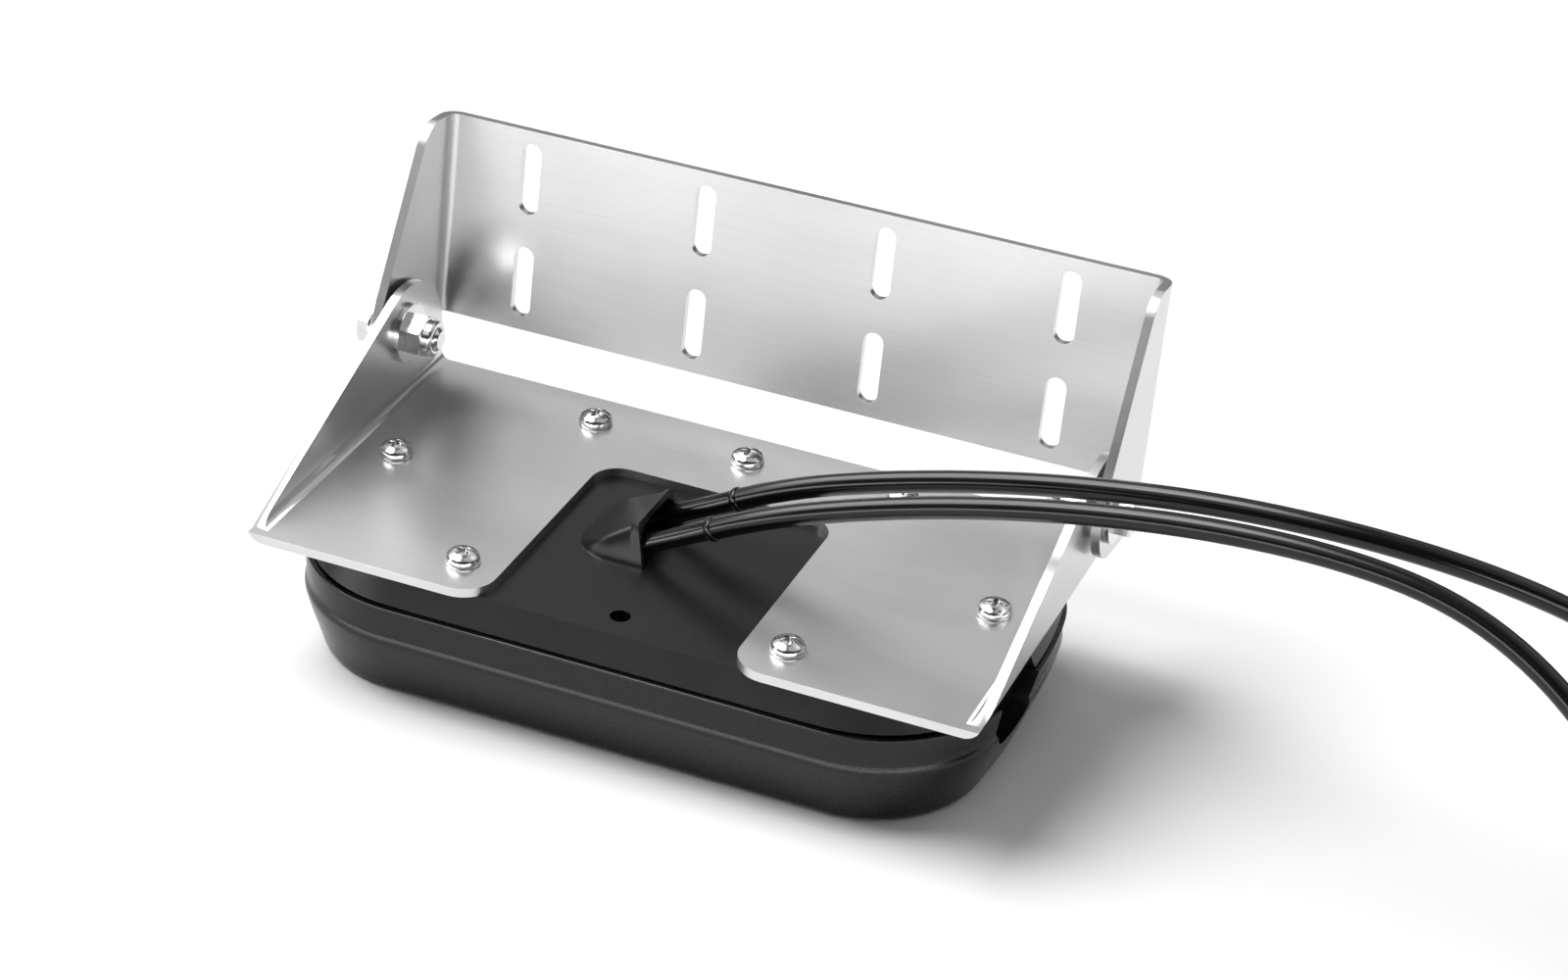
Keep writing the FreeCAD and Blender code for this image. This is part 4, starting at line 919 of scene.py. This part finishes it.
@dataclass(frozen=True)
class HoodForm:
    """The cable hood: a rising roof and leaning sides with soft edges over an open mouth."""

    top_z: float = 43.0
    tip_x: float = -29.6
    mouth_x: float = -5.0
    lean: float = 4.0
    rise: float = 13.0
    middle_y: float = -6.0
    half_width: float = 17.0
    front_corner: float = 12.0
    back_corner: float = 4.0
    side_slope: float = 2.8
    ridge: float = 1.5
    ridge_growth: float = 0.55
    lip: float = 2.0
    lip_fade: float = 0.7
    lip_growth: float = 0.1
    foot: float = 2.4
    drop: float = 0.15
    sunk: float = 0.7
    grid: float = 0.5
    grid_long: float = 32.0
    grid_ahead: float = 4.0
    grid_aside: float = 2.5
    mouth_half: float = 15.2
    mouth_lean: float = 0.36
    mouth_proud: float = 0.3
    brow_from: float = 0.8
    brow_share: float = 0.84
    roof: float = 1.9
    deep: float = 8.5
    skim: float = 0.02
    cut_high: float = 20.0
    cut_x: float = 40.0
    cut_y: tuple[float, float] = (-40.0, 30.0)
    clear_x: tuple[float, float] = (-34.0, -3.0)
    clear_y: tuple[float, float] = (-24.5, 12.5)
    clear_high: float = 30.0
    edge: float = 0.7
    edge_segments: int = 3
    edge_above: float = 42.0

    def inside(self, x: float, y: float) -> float:
        """How far a place lies inside the hood's plan.

        Args:
            x: the place along the hood.
            y: the place across it.

        Returns:
            The distance to the plan's edge, below 0 outside it.
        """
        corner = self.front_corner if y < self.middle_y else self.back_corner
        ahead = self.tip_x + corner - x
        aside = abs(y - self.middle_y) - (self.half_width - corner)
        outer = math.hypot(max(ahead, 0.0), max(aside, 0.0)) + min(max(ahead, aside), 0.0)
        return corner - outer

    def height(self, x: float, y: float) -> float:
        """The hood's height over the cover at a place.

        Args:
            x: the place along the hood.
            y: the place across it.

        Returns:
            The height, slightly below 0 outside the hood.
        """
        roof = (x - self.tip_x) * self.slope()
        side = self.inside(x, y) * self.side_slope
        body = soft_least(roof, side, self.ridge + max(roof, 0.0) * self.ridge_growth)
        lip = soft_least(roof, side, self.ridge + max(roof, 0.0) * self.lip_growth)
        to_mouth = self.mouth_x - self.lean * body / self.rise - x
        share = min(max((self.lip + self.lip_fade - to_mouth) / self.lip_fade, 0.0), 1.0)
        return soft_most(body + (lip - body) * share, 0.0, self.foot) - self.drop

    def slope(self) -> float:
        """The roof's rise for each millimetre from the tip."""
        return self.rise / (self.mouth_x - self.lean - self.tip_x)

    def solid(self) -> bpy.types.Object:
        """Make the hood's outside, with its mouth still closed.

        Returns:
            A block that reaches a little into the cover.
        """
        first_x = self.tip_x - self.grid_ahead
        columns = [first_x + self.grid * step for step in range(int(self.grid_long / self.grid))]
        half = self.half_width + self.grid_aside
        rows = [self.middle_y - half + self.grid * step for step in range(int(2 * half / self.grid) + 1)]
        work = bmesh.new()
        upper = []
        for y in rows:
            upper.append([work.verts.new(metres(x, y, self.top_z + self.height(x, y))) for x in columns])
        lower = [[work.verts.new(metres(x, y, self.top_z - self.sunk)) for x in columns] for y in rows]
        for sheet in (upper, lower):
            for row, after in zip(sheet, sheet[1:]):
                for index in range(len(columns) - 1):
                    work.faces.new((row[index], row[index + 1], after[index + 1], after[index]))
        loops = [self.border(sheet) for sheet in (upper, lower)]
        count = len(loops[0])
        for index in range(count):
            after = (index + 1) % count
            work.faces.new((loops[0][index], loops[0][after], loops[1][after], loops[1][index]))
        return finished(work, "hood_form", outward=True)

    def border(self, sheet: list[list[bmesh.types.BMVert]]) -> list[bmesh.types.BMVert]:
        """The points round a grid's edge.

        Args:
            sheet: the grid's rows.

        Returns:
            The points in order.
        """
        right = [row[-1] for row in sheet[1:-1]]
        left = [row[0] for row in sheet[1:-1]]
        return sheet[0] + right + sheet[-1][::-1] + left[::-1]

    def front(self) -> bpy.types.Object:
        """Make what takes off all that lies before the mouth's leaning plane.

        Returns:
            A block.
        """
        head_x = self.mouth_x - self.lean * self.cut_high / self.rise
        low = self.top_z - self.skim
        high = self.top_z + self.cut_high
        outline = [(self.mouth_x, low), (self.cut_x, low), (self.cut_x, high), (head_x, high)]
        rings = [[Vector((x, y, z)) for x, z in outline] for y in self.cut_y]
        return lofted(rings, "hood_front_cut")

    def mouth(self) -> bpy.types.Object:
        """Make the opening's shape, narrower at the top and lower at its back.

        Returns:
            A block.
        """
        outline = [
            (-1.0, self.skim), (1.0, self.skim), (1.0, self.brow_from),
            (self.brow_share, 1.0), (-self.brow_share, 1.0), (-1.0, self.brow_from),
        ]
        rings = []
        for back, proud in ((0.0, self.mouth_proud), (self.deep, 0.0)):
            top = self.rise - self.roof - self.slope() * back
            ring = []
            for across, up in outline:
                z = max(top * up, self.skim)
                half = (self.mouth_half - z * self.mouth_lean) * across
                x = self.mouth_x - back - self.lean * z / self.rise + proud
                ring.append(Vector((x, self.middle_y + half, self.top_z + z)))
            rings.append(ring)
        return lofted(rings, "hood_mouth_cut")

    def clearing(self) -> bpy.types.Object:
        """Make room for this hood by a block round the CAD one.

        Returns:
            The block.
        """
        low = self.top_z + self.skim
        left, right = self.clear_x
        front, back = self.clear_y
        corners = [(left, front), (right, front), (right, back), (left, back)]
        rings = [[Vector((x, y, z)) for x, y in corners] for z in (low, low + self.clear_high)]
        return lofted(rings, "hood_clearing")

    def fit(self, cover: bpy.types.Object, bores: list[bpy.types.Object]) -> None:
        """Put this hood on the cover in place of the CAD one.

        Args:
            cover: the rounded copy of the CAD cover.
            bores: the boots' clearance bores.
        """
        hood = self.solid()
        combine(hood, "DIFFERENCE", self.front(), self.mouth(), *bores)
        round_edges(hood, self.edge, self.edge_segments, self.edge_above)
        combine(cover, "DIFFERENCE", self.clearing())
        combine(cover, "UNION", hood)


# Turned pieces

def lathe(profile: Sequence[tuple[float, float]], start: Vector, way: Vector, name: str,
          steps: int = 48) -> bpy.types.Object:
    """Make a form turned about an axis.

    Args:
        profile: distances along the axis with radii, both ends closed.
        start: where the axis starts, in millimetres.
        way: the axis' direction.
        name: the object's name.
        steps: faces round the axis.

    Returns:
        The closed form.
    """
    turn = way.to_track_quat("Z", "Y").to_matrix()
    rings = []
    for along, radius in profile:
        ring = []
        for step in range(steps):
            angle = 2 * math.pi * step / steps
            ring.append(start + turn @ Vector((radius * math.cos(angle), radius * math.sin(angle), along)))
        rings.append(ring)
    return lofted(rings, name)


def rounded(profile: Sequence[tuple[float, float, float]], steps: int = 5) -> list[tuple[float, float]]:
    """Replace a profile's corners by short arcs.

    Args:
        profile: corners, each with its distance along, its radius and its rounding.
        steps: parts of each arc.

    Returns:
        Distances along with radii.
    """
    result = []
    last = len(profile) - 1
    for index, (along, radius, bend) in enumerate(profile):
        if bend <= 0 or index in (0, last):
            result.append((along, radius))
            continue
        here = Vector((along, radius))
        first = here + (Vector(profile[index - 1][:2]) - here).normalized() * bend
        final = here + (Vector(profile[index + 1][:2]) - here).normalized() * bend
        for step in range(steps + 1):
            share = step / steps
            point = first * (1 - share) ** 2 + here * (2 * share * (1 - share)) + final * share ** 2
            result.append((point.x, point.y))
    return result


@dataclass(frozen=True)
class Boot:
    """The slim moulded boot between the hood and a cable."""

    word: str
    y: float
    mouth: tuple[float, float] = (-5.0, 49.0)
    rise: float = 28.0
    back: float = -22.0
    taper_from: float = 12.0
    collar_from: float = 21.2
    collar_to: float = 23.4
    collar_step: float = 0.6
    slim: float = 3.1
    full: float = 3.28
    collar: float = 3.9
    end_edge: float = 0.2
    taper_bend: float = 3.0
    collar_edge: float = 0.5
    smooth_below: float = 40.0
    bore_radius: float = 3.2
    bore_span: tuple[float, float] = (-24.0, -2.0)

    def turned(self, profile: Sequence[tuple[float, float]], name: str) -> bpy.types.Object:
        """Turn a piece about the boot's axis.

        Args:
            profile: distances along the axis with radii.
            name: the piece's name.

        Returns:
            The piece.
        """
        angle = math.radians(self.rise)
        way = Vector((math.cos(angle), 0.0, math.sin(angle)))
        start = Vector((self.mouth[0], self.y, self.mouth[1]))
        return lathe(profile, start, way, name)

    def bore(self) -> bpy.types.Object:
        """The clearance the boot needs in the hood."""
        profile = [(along, self.bore_radius) for along in self.bore_span]
        return self.turned(profile, f"{self.word}_boot_bore")

    def build(self, finish: bpy.types.Material) -> None:
        """Args:
            finish: the boot's rubber.
        """
        collar_full = self.collar_from + self.collar_step
        profile = rounded([
            (self.back, self.slim - self.end_edge, 0.0),
            (self.back, self.slim, self.end_edge),
            (self.taper_from, self.slim, self.taper_bend),
            (self.collar_from, self.full, self.collar_edge),
            (collar_full, self.collar, self.collar_edge),
            (self.collar_to, self.collar, self.collar_edge),
            (self.collar_to, self.bore_radius, 0.0),
        ])
        boot = self.turned(profile, f"{self.word}_boot_form")
        smooth(boot.data, self.smooth_below)
        declare(boot, finish, Body.HOUSING, f"{self.word}_cable_boot")


# Screws

@dataclass(frozen=True)
class ScrewField:
    """The bracket's pan-head screws, set out by a Geometry Nodes tree.

    The shank and the head are profiles of distances along, radii and roundings. The recess has a height
    with half an arm's length and width in each row.
    """

    LEAST_FLOAT = 2
    MOST_FLOAT = 3
    FLOAT_RESULT = 1

    spots: tuple[tuple[float, float], ...] = (
        (-53.7, -48.5), (53.7, -48.5), (-101.7, 0.0), (101.7, 0.0), (-53.7, 48.5), (0.0, 48.5), (53.7, 48.5))
    seat: float = 46.0
    seed: int = 7
    edge: float = 0.12
    edge_segments: int = 2
    bend_steps: int = 6
    shank: tuple[Point, ...] = ((-10.5, 1.8, 0.0), (-10.5, 1.85, 0.0), (-9.6, 2.45, 0.2), (0.0, 2.45, 0.0))
    head: tuple[Point, ...] = (
        (0.0, 5.3, 0.2), (0.5, 5.5, 0.3), (2.5, 5.35, 1.6), (4.0, 2.9, 2.2), (4.0, 0.2, 0.0))
    recess: tuple[Point, ...] = ((1.7, 1.3, 0.45), (3.4, 2.3, 0.72), (4.6, 2.95, 0.86))

    def master(self) -> bpy.types.Object:
        """Make one screw with its seat at the origin and a cross recess.

        Returns:
            The screw.
        """
        profile = rounded(self.shank + self.head, self.bend_steps)
        screw = lathe(profile, Vector((0, 0, 0)), Vector((0, 0, 1)), "pan_screw_form")
        combine(screw, "DIFFERENCE", self.arm(False), self.arm(True))
        round_edges(screw, self.edge, self.edge_segments, SMOOTH_BELOW)
        smooth(screw.data)
        return screw

    def arm(self, across: bool) -> bpy.types.Object:
        """Make one tapered arm of the recess's cutter.

        Args:
            across: whether it lies across the other arm.

        Returns:
            The arm.
        """
        rings = []
        for z, long, wide in self.recess:
            corners = [(-long, -wide), (long, -wide), (long, wide), (-long, wide)]
            rings.append([Vector((y, x, z)) if across else Vector((x, y, z)) for x, y in corners])
        return lofted(rings, "recess_arm")

    def tree(self) -> bpy.types.NodeTree:
        """Make the tree that puts a screw on points, each turned by its own angle.

        Returns:
            The tree, which gives real geometry with its finish.
        """
        tree = bpy.data.node_groups.new("set_out_screws", "GeometryNodeTree")
        inputs = {"Spots": "Geometry", "Screw": "Object", "Turn seed": "Int", "Finish": "Material"}
        for name, kind in inputs.items():
            tree.interface.new_socket(name, in_out="INPUT", socket_type=f"NodeSocket{kind}")
        tree.interface.new_socket("Screws", in_out="OUTPUT", socket_type="NodeSocketGeometry")
        nodes = tree.nodes
        source = nodes.new("NodeGroupInput")
        result = nodes.new("NodeGroupOutput")
        info = nodes.new("GeometryNodeObjectInfo")
        angle = nodes.new("FunctionNodeRandomValue")
        angle.data_type = "FLOAT"
        angle.inputs[self.LEAST_FLOAT].default_value = 0.0
        angle.inputs[self.MOST_FLOAT].default_value = math.pi / 2
        turn = nodes.new("ShaderNodeCombineXYZ")
        rotation = nodes.new("FunctionNodeEulerToRotation")
        instances = nodes.new("GeometryNodeInstanceOnPoints")
        real = nodes.new("GeometryNodeRealizeInstances")
        painted = nodes.new("GeometryNodeSetMaterial")
        link = tree.links.new
        link(source.outputs["Screw"], info.inputs["Object"])
        link(source.outputs["Turn seed"], angle.inputs["Seed"])
        link(angle.outputs[self.FLOAT_RESULT], turn.inputs["Z"])
        link(turn.outputs[0], rotation.inputs[0])
        link(source.outputs["Spots"], instances.inputs["Points"])
        link(info.outputs["Geometry"], instances.inputs["Instance"])
        link(rotation.outputs[0], instances.inputs["Rotation"])
        link(instances.outputs[0], real.inputs[0])
        link(real.outputs[0], painted.inputs["Geometry"])
        link(source.outputs["Finish"], painted.inputs["Material"])
        link(painted.outputs[0], result.inputs["Screws"])
        return tree

    def build(self, finish: bpy.types.Material) -> None:
        """Args:
            finish: the screws' steel.
        """
        mesh = bpy.data.meshes.new("screw_spots")
        mesh.from_pydata([metres(x, y, self.seat) for x, y in self.spots], [], [])
        screws = place_object("screws_form", mesh)
        master = self.master()
        modifier = screws.modifiers.new("set out", "NODES")
        modifier.node_group = self.tree()
        values = {"Screw": master, "Turn seed": self.seed, "Finish": finish}
        for item in modifier.node_group.interface.items_tree:
            if item.in_out == "INPUT" and item.name in values:
                modifier[item.identifier] = values[item.name]
        bake(screws)
        bpy.data.objects.remove(master)
        smooth(screws.data)
        declare(screws, finish, Body.HOUSING, "bracket_screws")


# Cables

@dataclass
class Coil:
    """The put-away turns of a cable, wound in nested layers of 5 and 4 turns."""

    spin: int
    start_angle: float
    base: float
    rising: bool
    centre: tuple[float, float] = (390.0, -5.0)
    mean: float = 49.0
    pitch: float = 7.0
    rise: float = 6.1
    steps: int = 16
    wide_turns: int = 5
    layers: int = 4
    shift_from: float = 0.75
    unfinished: int = 0

    def rows(self) -> list[tuple[float, list[float]]]:
        """The coil's layers, in the order they are wound.

        Returns:
            Each layer's height with the radii of its turns.
        """
        floor = self.base + self.pitch / 2
        heights = [floor + number * self.rise for number in range(self.layers)]
        rows = []
        for number, height in enumerate(heights):
            turns = self.wide_turns - number % 2
            reach = (turns - 1) / 2 * self.pitch
            rows.append((height, [self.mean - reach + turn * self.pitch for turn in range(turns)]))
        if not self.rising:
            rows.reverse()
        return [(height, radii if number % 2 else radii[::-1]) for number, (height, radii) in enumerate(rows)]

    def points(self) -> list[Point]:
        """Lay control points along the turns, each turn shifting to the next at its end.

        Returns:
            The points, a little outside the turns they draw.
        """
        stops = [(radius, height) for height, radii in self.rows() for radius in radii]
        stretch = 1.0 / math.cos(math.pi / self.steps)
        centre_x, centre_y = self.centre
        result = []
        angle = self.start_angle
        for number, (radius, height) in enumerate(stops):
            next_radius, next_height = stops[min(number + 1, len(stops) - 1)]
            for step in range(self.steps):
                late = max(0.0, step / self.steps - self.shift_from) / (1.0 - self.shift_from)
                out = (radius + (next_radius - radius) * late) * stretch
                up = height + (next_height - height) * late
                result.append((centre_x + out * math.cos(angle), centre_y + out * math.sin(angle), up))
                angle += self.spin * 2 * math.pi / self.steps
        return result[:len(result) - self.unfinished]


@dataclass
class Cable:
    """One cable: its laid-out route, its coil and the plug's tail."""

    name: str
    route: list[Point]
    coil: Coil
    tail: list[Point]
    body: Body = Body.HOUSING
    across: float = 7.0
    length: float = 6.0
    round_steps: int = 6
    long_steps: int = 6

    def build(self, finish: bpy.types.Material) -> None:
        """Args:
            finish: the cable's jacket.
        """
        points = [*self.route, *self.coil.points(), *self.tail]
        data = bpy.data.curves.new(self.name, "CURVE")
        data.dimensions = "3D"
        data.bevel_depth = self.across / 2 * MM
        data.bevel_resolution = self.round_steps
        data.resolution_u = self.long_steps
        data.use_fill_caps = True
        spline = data.splines.new("NURBS")
        spline.points.add(len(points) - 1)
        for item, point in zip(spline.points, points):
            item.co = (*metres(*point), 1.0)
        spline.order_u = 3
        spline.use_endpoint_u = True
        cable = place_object(self.name, data)
        data.materials.append(finish)
        word = self.name.split("_")[0]
        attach(cable, self.body.value)
        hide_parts(f"{word}_cable", f"{word}_cable_coil")
        metres(*self.route[0])
        log.info("cable %s: %d control points", self.name, len(points))


AFT = Cable(
    "aft_cable_cord",
    [(15.66, -16.0, 59.99), (31.0, -16.0, 68.2), (62.0, -15.6, 79.8), (95.0, -15.2, 89.6),
     (130.0, -14.8, 97.3), (168.0, -14.6, 102.6), (205.0, -14.8, 104.0), (238.0, -17.0, 101.2),
     (266.0, -24.0, 92.4), (290.0, -34.0, 77.8), (311.0, -44.6, 59.6), (331.0, -54.4, 41.6),
     (348.0, -61.0, 29.4), (366.0, -64.6, 22.6)],
    Coil(spin=1, start_angle=-math.pi / 2, base=0.0, rising=False),
    [(390.0, -68.0, 3.6), (404.0, -70.0, 6.5), (419.0, -70.5, 9.8)],
)
FORE = Cable(
    "fore_cable_cord",
    [(15.66, 4.0, 59.99), (31.0, 4.0, 68.2), (61.0, 3.6, 79.0), (94.0, 3.0, 88.6),
     (128.0, 2.4, 96.0), (165.0, 2.1, 101.2), (203.0, 2.4, 102.6), (237.0, 5.0, 99.6),
     (265.0, 12.4, 90.8), (289.0, 23.0, 77.0), (310.0, 34.4, 61.0), (330.0, 45.4, 45.6),
     (346.0, 53.4, 35.4), (366.0, 58.0, 30.0)],
    Coil(spin=-1, start_angle=math.pi / 2, base=26.0, rising=True, unfinished=3),
    [(331.5, 15.0, 49.6), (340.0, 31.0, 55.4), (352.5, 41.5, 60.6), (362.5, 44.0, 61.8),
     (371.0, 44.0, 61.8)],
)


def dress(nodes: dict[str, bpy.types.Object], names: Iterable[str], finish: bpy.types.Material) -> None:
    """Give CAD nodes a finish.

    Args:
        nodes: the frame's nodes by name.
        names: the nodes to dress.
        finish: their material.
    """
    for name in names:
        for slot in nodes[name].material_slots:
            slot.material = finish
        log.info("%s: as its solid, in %s", name, finish.name)


HIDDEN = {
    Plain("seal_rubber", (0.004, 0.004, 0.004), 0.75): ("housing_seal",),
    Plain("insert_brass", (0.7, 0.5, 0.2), 0.3, 1.0): ("screw_inserts",),
    Plain("carrier_plastic", (0.08, 0.08, 0.085), 0.55): ("array_carrier",),
    Plain("array_ceramic", (0.62, 0.55, 0.42), 0.6): ("port_array", "starboard_array", "down_array"),
    Plain("board_laminate", (0.015, 0.13, 0.04), 0.35): ("circuit_board",),
    Plain("sensor_brass", (0.66, 0.48, 0.2), 0.32, 1.0): ("temperature_sensor",),
}


COVER_EDGE = Softening(width=0.6, segments=3)
SHEET_EDGE = Softening(width=0.4)
STEEL_EDGE = Softening(width=0.22)


def main() -> None:
    """Build everything in order."""
    logging.basicConfig(level=logging.INFO, format="%(name)s: %(message)s")
    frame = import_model()
    nodes = frame["nodes"]
    bpy.context.scene.view_settings.view_transform = "Standard"
    Studio().build()
    plastic = MouldedPlastic("housing_plastic").make()
    hull_plastic = MouldedPlastic("housing_plastic", rough=0.27, shine=0.36).make()
    sheet = SatinSheet("stainless_sheet").make()
    steel = TurnedSteel("stainless_fasteners").make()
    jacket = Jacket("cable_jacket").make()
    boot = Jacket("boot_rubber", rough=0.18, shine=0.5).make()
    plug = MouldedPlastic("plug_plastic", dark=0.01, pale=0.014, rough=0.45).make()
    for finish, names in HIDDEN.items():
        dress(nodes, names, finish.make())
    HullForm().build(hull_plastic)
    boots = [Boot("aft", -16.0), Boot("fore", 4.0)]
    cover = COVER_EDGE.apply(nodes["top_cover"])
    HoodForm().fit(cover, [item.bore() for item in boots])
    smooth(cover.data)
    weigh(cover)
    declare(cover, plastic, Body.HOUSING, "top_cover")
    for name, body in (("transducer_bracket", Body.HOUSING), ("transom_bracket", Body.MOUNT)):
        declare(SHEET_EDGE.apply(nodes[name]), sheet, body, name)
    hardware = [name for name in nodes if name.endswith(("washer", "bolt", "nut"))]
    for name in hardware:
        declare(STEEL_EDGE.apply(nodes[name]), steel, Body.HOUSING, name)
    ScrewField().build(steel)
    for item in boots:
        item.build(boot)
    dress(nodes, [name for name in nodes if "plug" in name], plug)
    AFT.build(jacket)
    FORE.build(jacket)


if __name__ == "__main__":
    main()
